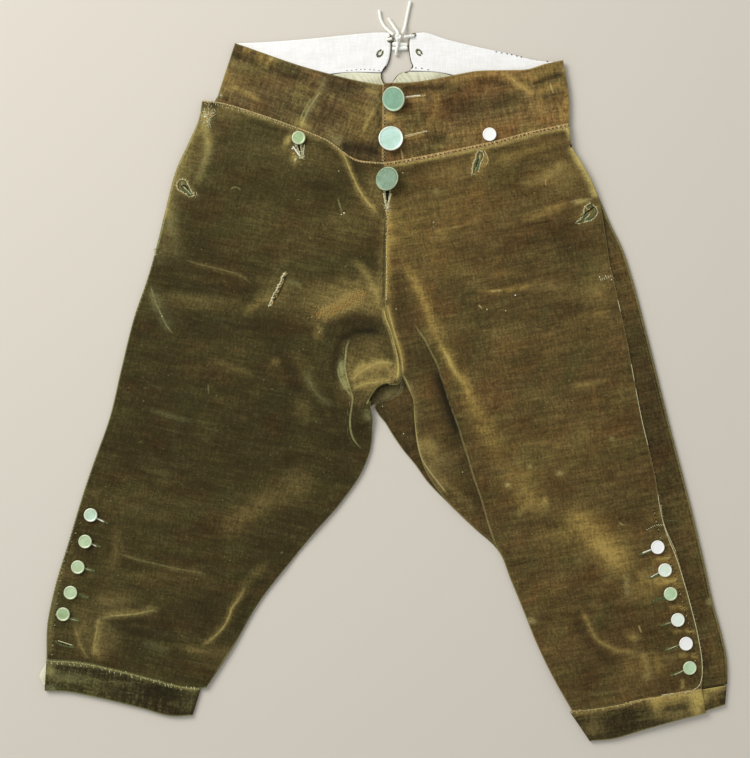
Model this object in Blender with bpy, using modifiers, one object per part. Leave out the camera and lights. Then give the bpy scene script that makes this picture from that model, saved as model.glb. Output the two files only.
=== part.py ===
"""Knee breeches in worn velvet, laid flat on a table with the front up.

The garment lies in the XY plane with its waist towards +Y and its underside at z = 0.
Right and left are the wearer's, so the right leg lies on the -X side. Each cloth piece
is a patch stretched between its own seams, given a wall with Solidify. The layers, from
the table up, are the backs and back waistband, their linings, the front waistband, the
fall fronts, and the buttons.
"""
import math
from collections import namedtuple

import bmesh
import bpy
import numpy as np

MM = 0.001  # every size below is in millimetres

# Walls and the steps between the layers.
VELVET = 1.6          # velvet with its backing
LINEN = 1.0           # lining linen
SEAM_GAP = 0.3        # clear space between pieces that touch
HALF_SEAM = 0.2       # from a seam's line to the piece on each side of it
WAIST_CLEARANCE = 1.0  # from a waistband to the panel or lining under its seam
KNEE_CLEARANCE = 0.5   # from the knee seam to the kneeband
LAYER = VELVET + SEAM_GAP
FOLD_RADIUS = 1.6     # to the middle of the wall, where a back or a band turns over

# Heights of the middle of each layer of cloth.
TABLE_LAYER = VELVET / 2
LINING_LAYER = VELVET + SEAM_GAP + LINEN / 2
FIRST_LAYER = TABLE_LAYER + LAYER
BAND_LAYER = TABLE_LAYER + 2 * FOLD_RADIUS
OVERLAP_LAYER = BAND_LAYER + LAYER
FALL_LAYER = OVERLAP_LAYER + LAYER

# Buttons: diameter, thickness at the rim, depth of the dish, shank diameter and length.
Button = namedtuple("Button", "diameter rim dish shank_diameter shank_length sides")
LARGE_BUTTON = Button(27.0, 1.8, 0.5, 6.0, 4.4, 24)
SMALL_BUTTON = Button(15.0, 1.6, 0.4, 5.0, 2.0, 16)
LIP_WIDTH = 2.2       # from a button's edge to the foot of its raised lip
LIP_CREST = 1.2       # and to the lip's crest
EDGE_ROLL = 0.7       # how far the edge rolls down from the crest
EDGE_UNDERCUT = 0.5   # and in again below
BUTTON_CLEARANCE = 0.4  # from the cloth to a shank's foot

LACE_DIAMETER = 3.4
KNOT_SIZE = (8.0, 9.2, 6.4)

Point = namedtuple("Point", "x y z")
Fold = namedtuple("Fold", "name start middle end height left right")
Spot = namedtuple("Spot", "name x y tilt towards")


# --- Seams and edges. Columns: x, y, height of the middle of the cloth ---

FALL_TOP_RIGHT = [
    Point(-199, 313, OVERLAP_LAYER),
    Point(-184, 312, OVERLAP_LAYER),
    Point(-147, 302, 6.0),
    Point(-93, 283, 6.5),
    Point(-62, 270, FALL_LAYER),
    Point(-29, 248, FALL_LAYER),
    Point(0, 245, FALL_LAYER),
]
FALL_TOP_LEFT = [
    Point(0, 245, FALL_LAYER),
    Point(31, 250, FALL_LAYER),
    Point(81, 260, FALL_LAYER),
    Point(123, 269, FALL_LAYER),
    Point(164, 280, FALL_LAYER),
    Point(203, 288, FALL_LAYER),
]
CENTRE_SEAM = [
    Point(0, 245, FALL_LAYER),
    Point(3, 209, FALL_LAYER),
    Point(4, 188, 6.8),
    Point(3, 160, 5.0),
    Point(2, 118, 4.4),
    Point(2, 85, 4.6),
    Point(9, 60, 5.6),
    Point(17, 30, 6.6),
    Point(21, 10, 6.4),
]
RIGHT_CROTCH = [
    Point(17, 3, 8.0),
    Point(8, 2, 9.4),
    Point(-4, -1, 9.4),
    Point(-11, -8, 8.2),
    Point(-14, -17, 6.2),
    Point(-12, -35, 3.2),
]
RIGHT_INNER_LEG = [
    Point(-14, -67, FIRST_LAYER),
    Point(-24, -94, FIRST_LAYER),
    Point(-45, -125, FIRST_LAYER),
    Point(-78, -163, FIRST_LAYER),
    Point(-101, -191, FIRST_LAYER),
    Point(-136, -236, FIRST_LAYER),
    Point(-167, -289, 3.4),
    Point(-194, -330, BAND_LAYER),
]
RIGHT_SIDE = [
    Point(-199, 313, OVERLAP_LAYER),
    Point(-202, 295, OVERLAP_LAYER),
    Point(-213, 269, OVERLAP_LAYER),
    Point(-227, 239, 4.2),
    Point(-240, 191, FIRST_LAYER),
    Point(-251, 147, FIRST_LAYER),
    Point(-261, 113, FIRST_LAYER),
    Point(-273, 79, FIRST_LAYER),
    Point(-288, 19, FIRST_LAYER),
    Point(-301, -35, FIRST_LAYER),
    Point(-314, -72, FIRST_LAYER),
    Point(-325, -103, FIRST_LAYER),
    Point(-344, -165, FIRST_LAYER),
    Point(-363, -230, 3.2),
    Point(-369, -261, 3.6),
    Point(-370, -300, BAND_LAYER),
]
RIGHT_KNEE_SEAM = [
    Point(-370, -300, BAND_LAYER),
    Point(-331, -303, BAND_LAYER),
    Point(-294, -311, BAND_LAYER),
    Point(-258, -320, BAND_LAYER),
    Point(-222, -329, BAND_LAYER),
    Point(-203, -331, BAND_LAYER),
    Point(-194, -330, BAND_LAYER),
]
LEFT_INNER_LEG = [
    Point(27, -2, 4.4),
    Point(31, -10, 3.4),
    Point(34, -37, FIRST_LAYER),
    Point(38, -69, FIRST_LAYER),
    Point(48, -96, FIRST_LAYER),
    Point(70, -126, FIRST_LAYER),
    Point(98, -153, FIRST_LAYER),
    Point(124, -176, FIRST_LAYER),
    Point(140, -213, FIRST_LAYER),
    Point(154, -247, FIRST_LAYER),
    Point(169, -284, FIRST_LAYER),
    Point(187, -321, 3.4),
    Point(207, -356, BAND_LAYER),
]
LEFT_SIDE = [
    Point(203, 288, FALL_LAYER),
    Point(207, 262, FALL_LAYER),
    Point(218, 244, FALL_LAYER),
    Point(236, 206, 6.4),
    Point(243, 169, OVERLAP_LAYER),
    Point(249, 130, OVERLAP_LAYER),
    Point(257, 95, OVERLAP_LAYER),
    Point(266, 55, OVERLAP_LAYER),
    Point(275, 6, OVERLAP_LAYER),
    Point(283, -35, OVERLAP_LAYER),
    Point(297, -94, OVERLAP_LAYER),
    Point(308, -152, OVERLAP_LAYER),
    Point(321, -182, OVERLAP_LAYER),
    Point(330, -215, OVERLAP_LAYER),
    Point(339, -248, OVERLAP_LAYER),
    Point(346, -277, OVERLAP_LAYER),
    Point(350, -308, OVERLAP_LAYER),
    Point(349, -331, OVERLAP_LAYER),
]
LEFT_KNEE_SEAM = [
    Point(207, -356, BAND_LAYER),
    Point(240, -352, BAND_LAYER),
    Point(295, -341, 4.8),
    Point(321, -336, OVERLAP_LAYER),
    Point(349, -331, OVERLAP_LAYER),
]

# The centre back, from the waistband down to the crotch. The backs part at the top.
RIGHT_CENTRE_BACK_TOP = [
    Point(-2, 344, TABLE_LAYER),
    Point(-2, 339, TABLE_LAYER),
    Point(2, 331, TABLE_LAYER),
]
LEFT_CENTRE_BACK_TOP = [
    Point(28, 346, TABLE_LAYER),
    Point(19, 344, TABLE_LAYER),
    Point(13, 338, TABLE_LAYER),
    Point(8, 330, TABLE_LAYER),
]
CENTRE_BACK = [
    Point(4, 310, TABLE_LAYER),
    Point(3, 200, TABLE_LAYER),
    Point(5, 95, TABLE_LAYER),
    Point(17, 38, TABLE_LAYER),
    Point(22, 9, TABLE_LAYER),
]
CROTCH_CURL = [
    Point(22, 9, TABLE_LAYER),
    Point(19, -5, TABLE_LAYER),
    Point(9, -13, TABLE_LAYER),
    Point(-5, -17, TABLE_LAYER),
]
RIGHT_BACK_INNER = [
    Point(-14, -22, TABLE_LAYER),
    Point(-14, -45, TABLE_LAYER),
    Point(-17, -68, TABLE_LAYER),
    Point(-27, -95, TABLE_LAYER),
    Point(-48, -126, TABLE_LAYER),
    Point(-104, -192, TABLE_LAYER),
    Point(-139, -237, TABLE_LAYER),
    Point(-170, -290, TABLE_LAYER),
    Point(-196, -330, TABLE_LAYER),
]
LEFT_BACK_INNER = [
    Point(-8, -19, TABLE_LAYER),
    Point(4, -43, TABLE_LAYER),
    Point(21, -69, TABLE_LAYER),
    Point(35, -86, TABLE_LAYER),
    Point(47, -103, TABLE_LAYER),
    Point(70, -127, TABLE_LAYER),
    Point(99, -155, TABLE_LAYER),
    Point(125, -179, TABLE_LAYER),
    Point(142, -214, TABLE_LAYER),
    Point(171, -286, TABLE_LAYER),
    Point(209, -355, TABLE_LAYER),
]
RIGHT_BACK_OUTER = [
    Point(-183, 318, TABLE_LAYER),
    Point(-197, 295, TABLE_LAYER),
    Point(-211, 267, TABLE_LAYER),
    Point(-225, 237, TABLE_LAYER),
    Point(-249, 147, TABLE_LAYER),
    Point(-271, 79, TABLE_LAYER),
    Point(-298, -35, TABLE_LAYER),
    Point(-323, -103, TABLE_LAYER),
    Point(-342, -165, TABLE_LAYER),
    Point(-366, -261, TABLE_LAYER),
    Point(-368, -299, TABLE_LAYER),
]
# Where the left back turns over to the front, and the end of the strip that shows.
LEFT_BACK_FOLD = [
    Point(201, 298, TABLE_LAYER),
    Point(205, 262, TABLE_LAYER),
    Point(220, 235, TABLE_LAYER),
    Point(235, 206, TABLE_LAYER),
    Point(247, 178, TABLE_LAYER),
    Point(260, 151, TABLE_LAYER),
    Point(270, 121, TABLE_LAYER),
    Point(286, 61, TABLE_LAYER),
    Point(310, -35, TABLE_LAYER),
    Point(338, -143, TABLE_LAYER),
    Point(350, -194, TABLE_LAYER),
    Point(360, -239, TABLE_LAYER),
    Point(369, -272, TABLE_LAYER),
    Point(375, -301, TABLE_LAYER),
    Point(375.5, -327, TABLE_LAYER),
]
LEFT_BACK_STRIP = [
    Point(187, 296, BAND_LAYER),
    Point(192, 260, BAND_LAYER),
    Point(205, 232, BAND_LAYER),
    Point(219, 203, BAND_LAYER),
    Point(229, 172, BAND_LAYER),
    Point(240, 130, BAND_LAYER),
    Point(257, 55, BAND_LAYER),
    Point(275, -35, BAND_LAYER),
    Point(298, -150, BAND_LAYER),
    Point(315, -194, BAND_LAYER),
    Point(326, -239, BAND_LAYER),
    Point(334, -272, BAND_LAYER),
    Point(341, -303, BAND_LAYER),
    Point(342, -333, BAND_LAYER),
]
# The waist seam of the backs, under the back waistband.
RIGHT_WAIST = [
    Point(-182, 319, TABLE_LAYER),
    Point(-100, 336, TABLE_LAYER),
    Point(-42, 345, TABLE_LAYER),
    Point(-2, 345, TABLE_LAYER),
]
LEFT_WAIST = [
    Point(28, 347, TABLE_LAYER),
    Point(62, 345, TABLE_LAYER),
    Point(110, 332, TABLE_LAYER),
    Point(201, 299, TABLE_LAYER),
]

# Waistbands. Each has its upper edge, its lower edge, and its two ends.
FRONT_BAND_RIGHT_TOP = [
    Point(-163, 377, BAND_LAYER),
    Point(-77, 348, BAND_LAYER),
    Point(0, 331, BAND_LAYER),
    Point(24, 329, BAND_LAYER),
]
FRONT_BAND_RIGHT_FOOT = [
    Point(-190, 293, BAND_LAYER),
    Point(-93, 262, BAND_LAYER),
    Point(-29, 224, BAND_LAYER),
    Point(24, 216, BAND_LAYER),
]
FRONT_BAND_LEFT_TOP = [
    Point(0, 333, OVERLAP_LAYER),
    Point(33, 334, OVERLAP_LAYER),
    Point(69, 340, OVERLAP_LAYER),
    Point(102, 346, OVERLAP_LAYER),
    Point(137, 347, OVERLAP_LAYER),
    Point(158, 348, OVERLAP_LAYER),
    Point(178, 354, OVERLAP_LAYER),
    Point(197, 358, OVERLAP_LAYER),
]
FRONT_BAND_LEFT_FOOT = [
    Point(0, 216, OVERLAP_LAYER),
    Point(31, 222, OVERLAP_LAYER),
    Point(122, 246, OVERLAP_LAYER),
    Point(203, 266, OVERLAP_LAYER),
]
FRONT_BAND_RIGHT_SIDE = [
    Point(-163, 377, BAND_LAYER),
    Point(-184, 312, BAND_LAYER),
    Point(-190, 293, BAND_LAYER),
]
FRONT_BAND_LEFT_SIDE = [
    Point(197, 358, OVERLAP_LAYER),
    Point(203, 322, OVERLAP_LAYER),
    Point(203, 266, OVERLAP_LAYER),
]
BACK_BAND_RIGHT_TOP = [
    Point(-161, 377, TABLE_LAYER),
    Point(-120, 379, TABLE_LAYER),
    Point(-82, 382, TABLE_LAYER),
    Point(-42, 386, TABLE_LAYER),
    Point(-8, 388.9, TABLE_LAYER),
    Point(8, 388.9, TABLE_LAYER),
]
BACK_BAND_RIGHT_END = [
    Point(8, 388.9, TABLE_LAYER),
    Point(8, 366, TABLE_LAYER),
    Point(6, 357, TABLE_LAYER),
    Point(3, 351, TABLE_LAYER),
    Point(-2, 345, TABLE_LAYER),
]
BACK_BAND_LEFT_TOP = [
    Point(28, 387, TABLE_LAYER),
    Point(44, 388.9, TABLE_LAYER),
    Point(67, 382, TABLE_LAYER),
    Point(108, 372, TABLE_LAYER),
    Point(137, 366, TABLE_LAYER),
    Point(164, 359, TABLE_LAYER),
    Point(195, 356, TABLE_LAYER),
]
BACK_BAND_LEFT_END = [
    Point(28, 387, TABLE_LAYER),
    Point(28, 368, TABLE_LAYER),
    Point(30, 357, TABLE_LAYER),
    Point(32, 351, TABLE_LAYER),
    Point(28, 347, TABLE_LAYER),
]

# Kneebands: the lower edges of the front run, then of the back run on the left leg.
RIGHT_BAND_FOOT = [
    Point(-372, -334, BAND_LAYER),
    Point(-349, -335, BAND_LAYER),
    Point(-312, -342, BAND_LAYER),
    Point(-270, -352, BAND_LAYER),
    Point(-228, -362, BAND_LAYER),
    Point(-212, -361, BAND_LAYER),
]
LEFT_BAND_FOOT = [
    Point(229, -388.9, BAND_LAYER),
    Point(251, -387, BAND_LAYER),
    Point(282, -378, 4.8),
    Point(320, -367, OVERLAP_LAYER),
    Point(354, -358, OVERLAP_LAYER),
]
LEFT_UNDERLAP_TOP = [
    Point(342, -334, BAND_LAYER),
    Point(374.8, -328.4, BAND_LAYER),
]
LEFT_UNDERLAP_FOOT = [
    Point(342, -360, BAND_LAYER),
    Point(373, -350, BAND_LAYER),
]
# The pale lining that shows past the end of the right kneeband.
KNEEBAND_TIP_TOP = [
    Point(-370.5, -304, LINING_LAYER),
    Point(-358, -306, LINING_LAYER),
]
KNEEBAND_TIP_FOOT = [
    Point(-377.9, -320, LINING_LAYER),
    Point(-373, -329, LINING_LAYER),
    Point(-358, -329, LINING_LAYER),
]

# The soft crowns of the fronts, and the shares of a fold's length and of a panel over
# which a fold dies away.
RIGHT_CROWN = 1.2
LEFT_CROWN = 1.0
FOLD_FADE = 0.2
SEAM_FADE = 0.125

# The largest folds. Columns: name, start, middle and end of the crest as (x, y),
# height, and how far its flank reaches on the left and on the right of that line.
FOLDS = [
    Fold("right crotch puff", (-36, 58), (-60, 6), (-26, -66), 6.5, 5, 34),
    Fold("puff by the seam", (2, 50), (-6, 22), (-8, 8), 3.0, 22, 14),
    Fold("hollow above the puff", (-62, 62), (-34, 78), (-4, 58), -1.2, 14, 12),
    Fold("left thigh overlap", (34, 74), (72, 8), (128, -180), 2.4, 3, 26),
    Fold("left thigh ridge", (22, 138), (58, 48), (128, -66), 1.3, 12, 14),
    Fold("right of the fly", (-48, 262), (-28, 220), (-4, 188), 1.2, 9, 9),
    Fold("right hip crease", (-256, 108), (-246, 82), (-230, 60), 1.0, 6, 9),
    Fold("right thigh crease", (-124, 46), (-92, 4), (-62, -24), 1.1, 10, 12),
    Fold("right knee crease", (-312, -254), (-284, -246), (-256, -246), 1.0, 7, 6),
    Fold("left knee crease", (218, -210), (252, -262), (306, -290), 0.9, 9, 9),
]

# Buttons. Columns: name, x, y, tilt in degrees, direction in which its face leans.
LARGE_BUTTONS = [
    Spot("waist_button_1", 13, 315, 27, 200),
    Spot("waist_button_2", 8, 271, 4, 90),
    Spot("waist_button_3", 6, 226, 26, 160),
]
FALL_BUTTONS = [
    Spot("fall_button_right", -93, 272, 4, 70),
    Spot("fall_button_left", 116, 276, 3, 60),
]
KNEE_BUTTONS_RIGHT = [
    Spot("knee_button_right_1", -321, -141, 3, 150),
    Spot("knee_button_right_2", -327, -170, 3, 170),
    Spot("knee_button_right_3", -335, -198, 3, 190),
    Spot("knee_button_right_4", -343, -226, 3, 160),
    Spot("knee_button_right_5", -351, -249.5, 3, 200),
]
KNEE_BUTTONS_LEFT = [
    Spot("knee_button_left_1", 300, -176, 3, 30),
    Spot("knee_button_left_2", 308, -201, 3, 350),
    Spot("knee_button_left_3", 314, -227, 4, 10),
    Spot("knee_button_left_4", 322, -255.5, 3, 20),
    Spot("knee_button_left_5", 331, -281.5, 3, 0),
    Spot("knee_button_left_6", 335, -308, 4, 340),
]

# The seat lining beside the gap: how far it reaches from the centre back, and down.
SEAT_LINING_FOOT = 309
RIGHT_LINING_END = Point(-70, 340, LINING_LAYER)
LEFT_LINING_END = Point(92, 336, LINING_LAYER)
RIGHT_LINING_CORNER = Point(3, SEAT_LINING_FOOT, LINING_LAYER)
LEFT_LINING_CORNER = Point(6, SEAT_LINING_FOOT, LINING_LAYER)

# The lace. Rows are points of each run's route: x, y, z.
KNOT = Point(16, 382.5, 7.1)
LACE_RUNS = {
    "lace_crossing_1": [
        Point(9.6, 376.6, 1.9),
        Point(26.6, 375.4, 1.9),
    ],
    "lace_crossing_2": [
        Point(9.4, 370.6, 1.9),
        Point(26.6, 371.4, 1.9),
    ],
    "lace_crossing_3": [
        Point(34, 385, 4.9),
        Point(28, 384.4, 5.2),
        Point(22.4, 383.4, 6.2),
    ],
    "lace_crossing_4": [
        Point(3.5, 380.6, 4.9),
        Point(9.6, 381.8, 5.8),
    ],
    "lace_strand": [
        Point(15.4, 376.4, 5.8),
        Point(14.4, 370.4, 5.7),
        Point(13.8, 366.4, 3.8),
        Point(13.6, 363.6, 1.9),
    ],
    "lace_end_left": [
        Point(11.0, 385.6, 6.2),
        Point(6.5, 389.5, 5.4),
        Point(2, 394, 3.4),
        Point(-2.5, 402, 2.0),
        Point(-5, 414, 1.9),
    ],
    "lace_end_short": [
        Point(15.4, 388.4, 6.4),
        Point(12.5, 393, 4.6),
        Point(9, 399, 2.4),
        Point(5, 405, 1.9),
    ],
    "lace_end_right": [
        Point(20.4, 387.2, 6.2),
        Point(22.5, 392, 4.4),
        Point(24, 398, 2.6),
        Point(26, 408, 1.9),
        Point(29.5, 424, 1.9),
    ],
}

# Steps of the grids: across and down each piece, and along the seams that pieces share.
FRONT_STEPS = (16, 30)
BACK_STEPS = (7, 22)
CENTRE_STEPS = 10
CROTCH_STEPS = 5
GAP_STEPS = 2
SEAT_STEPS = 7
CURL_STEPS = 4
WRAP_ARC = 5
WRAP_STRIP = 3
BAND_STEPS = (14, 3)
LINING_STEPS = (12, 3)
TIP_STEPS = (2, 3)
KNEEBAND_STEPS = (10, 2)
UNDERLAP_STEPS = 3
LACE_STEP = 5.0

COLLECTION = "knee_breeches"


# --- Curves and patches, worked out as arrays in millimetres ---

def smooth_curve(points, count):
    """`count` evenly spaced points along a smooth curve through `points`."""
    knots = np.array(points, dtype=float)
    chords = np.linalg.norm(np.diff(knots, axis=0), axis=1)
    marks = np.concatenate([[0.0], np.cumsum(chords)])
    slopes = np.gradient(knots, marks, axis=0)
    where = np.linspace(0.0, marks[-1], count)
    i = np.clip(np.searchsorted(marks, where, side="right") - 1, 0, len(marks) - 2)
    span = (marks[i + 1] - marks[i])[:, None]
    t = (where - marks[i])[:, None] / span
    return (
        (1 + 2 * t) * (1 - t) ** 2 * knots[i]
        + t * (1 - t) ** 2 * span * slopes[i]
        + t ** 2 * (3 - 2 * t) * knots[i + 1]
        + t ** 2 * (t - 1) * span * slopes[i + 1]
    )


def edge(*stretches):
    """One edge from stretches, each (points, steps), that meet end to end.

    Two pieces that share a stretch share its sampled points too.
    """
    runs = [smooth_curve(points, steps + 1) for points, steps in stretches]
    return np.concatenate([runs[0]] + [run[1:] for run in runs[1:]])


def patch(top, foot, left, right):
    """A Coons patch: the blend of four sampled edges, as an array of rows by columns."""
    u = np.linspace(0, 1, len(top))[None, :, None]
    v = np.linspace(0, 1, len(left))[:, None, None]
    t, f = top[None], foot[None]
    a, b = left[:, None], right[:, None]
    corners = (1 - v) * ((1 - u) * t[:, :1] + u * t[:, -1:]) + v * ((1 - u) * f[:, :1] + u * f[:, -1:])
    return (1 - v) * t + v * f + (1 - u) * a + u * b - corners


def shifted(points, dx=0.0, dy=0.0, dz=0.0):
    """The same edge, moved."""
    return [Point(p.x + dx, p.y + dy, p.z + dz) for p in points]


def at_height(points, z):
    """The same edge, laid at one height."""
    return [Point(p.x, p.y, z) for p in points]


def fold_height(cloth, fold):
    """How far one fold lifts the cloth: a soft ridge along a bent crest line.

    The ridge dies away at both ends and falls off to each side by its own reach.
    """
    t = np.linspace(0, 1, 41)[:, None]
    start, middle, end = (np.array(p, dtype=float) for p in (fold.start, fold.middle, fold.end))
    crest = (1 - t) ** 2 * start + 2 * t * (1 - t) * middle + t ** 2 * end
    run = 2 * (1 - t) * (middle - start) + 2 * t * (end - middle)
    offset = cloth[..., None, :2] - crest
    nearest = np.argmin((offset ** 2).sum(axis=-1), axis=-1)
    across = np.take_along_axis(offset, nearest[..., None, None], axis=-2)[..., 0, :]
    heading = run[nearest]
    side = heading[..., 0] * across[..., 1] - heading[..., 1] * across[..., 0]
    reach = np.where(side > 0, fold.right, fold.left)
    along = nearest / (len(t) - 1)
    ends = np.clip(np.minimum(along, 1 - along) / FOLD_FADE, 0, 1)
    return fold.height * ends * np.exp(-(across ** 2).sum(axis=-1) / reach ** 2)


def with_folds(cloth, crown):
    """The panel with its soft crown and every fold that crosses it."""
    rows, columns = cloth.shape[:2]
    u = np.linspace(0, 1, columns)[None]
    v = np.linspace(0, 1, rows)[:, None]
    cloth = cloth.copy()
    cloth[..., 2] += crown * np.sin(math.pi * u) * np.sin(math.pi * v) ** 0.5
    inside = np.clip(np.minimum(v, 1 - v) / SEAM_FADE, 0, 1)
    for fold in FOLDS:
        cloth[..., 2] += inside * fold_height(cloth, fold)
    return cloth


def height_at(cloth, x, y, corners=4):
    """The height of a panel's middle at the highest of the corners nearest to x, y."""
    gap = (cloth[..., 0] - x) ** 2 + (cloth[..., 1] - y) ** 2
    near = np.argsort(gap, axis=None)[:corners]
    return float(cloth[..., 2].ravel()[near].max())


def half_turn(line, outward, rising):
    """Columns that turn the cloth over at `line`, a half circle of FOLD_RADIUS outwards.

    `rising` is 1 where the cloth turns up and back, and -1 where it turns under.
    """
    outward = outward / np.linalg.norm(outward, axis=1, keepdims=True)
    columns = []
    for step in range(1, WRAP_ARC + 1):
        angle = math.pi * step / WRAP_ARC
        column = line.copy()
        column[:, :2] += outward * FOLD_RADIUS * math.sin(angle)
        column[:, 2] += rising * FOLD_RADIUS * (1 - math.cos(angle))
        columns.append(column)
    return np.stack(columns, axis=1)


def straight_run(start, end, steps):
    """Columns that run straight from one line of points to another, without the first."""
    return np.stack([start + (end - start) * k / steps for k in range(1, steps + 1)], axis=1)


# --- Blender objects ---

def clear_scene():
    """Remove every object of the scene."""
    for old in list(bpy.data.objects):
        bpy.data.objects.remove(old, do_unlink=True)


def make_material(name, colour, roughness, metallic=0.0):
    """A plain Principled material."""
    material = bpy.data.materials.new(name)
    material.use_nodes = True
    shader = material.node_tree.nodes["Principled BSDF"]
    shader.inputs["Base Color"].default_value = (*colour, 1.0)
    shader.inputs["Roughness"].default_value = roughness
    shader.inputs["Metallic"].default_value = metallic
    return material


def add_object(name, data, material):
    """Put a mesh or curve into the garment's collection with its material."""
    data.materials.append(material)
    item = bpy.data.objects.new(name, data)
    bpy.data.collections[COLLECTION].objects.link(item)
    return item


def cloth_piece(name, cloth, material, wall=VELVET):
    """A piece of cloth: a grid laid on the patch's points, with a wall."""
    rows, columns = cloth.shape[:2]
    mesh = bpy.data.meshes.new(name)
    shape = bmesh.new()
    bmesh.ops.create_grid(shape, x_segments=columns - 1, y_segments=rows - 1, size=0.5)
    for vert in shape.verts:
        column = round((vert.co.x + 0.5) * (columns - 1))
        row = round((0.5 - vert.co.y) * (rows - 1))
        vert.co = cloth[row, column] * MM
    shape.to_mesh(mesh)
    shape.free()
    mesh.shade_smooth()
    item = add_object(name, mesh, material)
    solid = item.modifiers.new("wall", "SOLIDIFY")
    solid.thickness = wall * MM
    solid.offset = 0.0
    solid.use_even_offset = True
    return item


def button_mesh(name, size):
    """A flat metal button with a raised rim and a shank stub, turned about Z."""
    radius = size.diameter / 2
    face = size.shank_length + size.rim
    profile = [
        (0.0, face - size.dish),
        (radius - LIP_WIDTH, face - size.dish),
        (radius - LIP_CREST, face),
        (radius, face - EDGE_ROLL),
        (radius - EDGE_UNDERCUT, size.shank_length),
        (size.shank_diameter / 2, size.shank_length),
        (size.shank_diameter / 2, 0.0),
        (0.0, 0.0),
    ]
    shape = bmesh.new()
    ring = [shape.verts.new((r * MM, 0.0, z * MM)) for r, z in profile]
    edges = [shape.edges.new(pair) for pair in zip(ring, ring[1:])]
    bmesh.ops.spin(
        shape, geom=ring + edges, cent=(0, 0, 0), axis=(0, 0, 1),
        angle=math.tau, steps=size.sides, use_merge=True,
    )
    bmesh.ops.remove_doubles(shape, verts=shape.verts, dist=0.01 * MM)
    bmesh.ops.recalc_face_normals(shape, faces=shape.faces)
    mesh = bpy.data.meshes.new(name)
    shape.to_mesh(mesh)
    shape.free()
    mesh.shade_smooth()
    mesh.set_sharp_from_angle(angle=math.radians(40))
    return mesh


def add_buttons(spots, mesh, size, cloth):
    """Set a row of buttons on the cloth they fasten, each leaning a little."""
    for spot in spots:
        lean = math.radians(spot.tilt)
        towards = math.radians(spot.towards)
        lift = math.sin(lean) * size.shank_diameter / 2
        drop = max(0.0, math.sin(lean) * size.diameter / 2 - size.shank_length * math.cos(lean))
        base = height_at(cloth, spot.x, spot.y) + VELVET / 2 + BUTTON_CLEARANCE + max(lift, drop)
        item = bpy.data.objects.new(spot.name, mesh)
        item.location = (spot.x * MM, spot.y * MM, base * MM)
        item.rotation_mode = "AXIS_ANGLE"
        item.rotation_axis_angle = (lean, -math.sin(towards), math.cos(towards), 0.0)
        bpy.data.collections[COLLECTION].objects.link(item)


def add_lace(name, route, material):
    """A round lace along a smooth curve through the route's points."""
    length = np.linalg.norm(np.diff(np.array(route, dtype=float), axis=0), axis=1).sum()
    count = max(3, round(length / LACE_STEP) + 1)
    curve = bpy.data.curves.new(name, "CURVE")
    curve.dimensions = "3D"
    curve.bevel_depth = LACE_DIAMETER / 2 * MM
    curve.bevel_resolution = 2
    curve.use_fill_caps = True
    spline = curve.splines.new("POLY")
    spline.points.add(count - 1)
    for point, place in zip(spline.points, smooth_curve(route, count)):
        point.co = (*(place * MM), 1.0)
    return add_object(name, curve, material)


# --- The garment's pieces ---

def front_panels():
    """The two fronts, as point grids: right first, then left."""
    across, down = FRONT_STEPS
    right_seam = shifted(CENTRE_SEAM, dx=-HALF_SEAM)
    left_seam = shifted(CENTRE_SEAM, dx=HALF_SEAM)
    right = patch(
        edge((FALL_TOP_RIGHT[:-1] + right_seam[:1], across)),
        edge((RIGHT_KNEE_SEAM, across)),
        edge((RIGHT_SIDE, down)),
        edge(
            (right_seam, CENTRE_STEPS),
            (right_seam[-1:] + RIGHT_CROTCH, CROTCH_STEPS),
            (RIGHT_CROTCH[-1:] + RIGHT_INNER_LEG, down - CENTRE_STEPS - CROTCH_STEPS),
        ),
    )
    left = patch(
        edge((left_seam[:1] + FALL_TOP_LEFT[1:], across)),
        edge((LEFT_KNEE_SEAM, across)),
        edge((left_seam, CENTRE_STEPS), (left_seam[-1:] + LEFT_INNER_LEG, down - CENTRE_STEPS)),
        edge((LEFT_SIDE, down)),
    )
    return with_folds(right, RIGHT_CROWN), with_folds(left, LEFT_CROWN)


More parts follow.
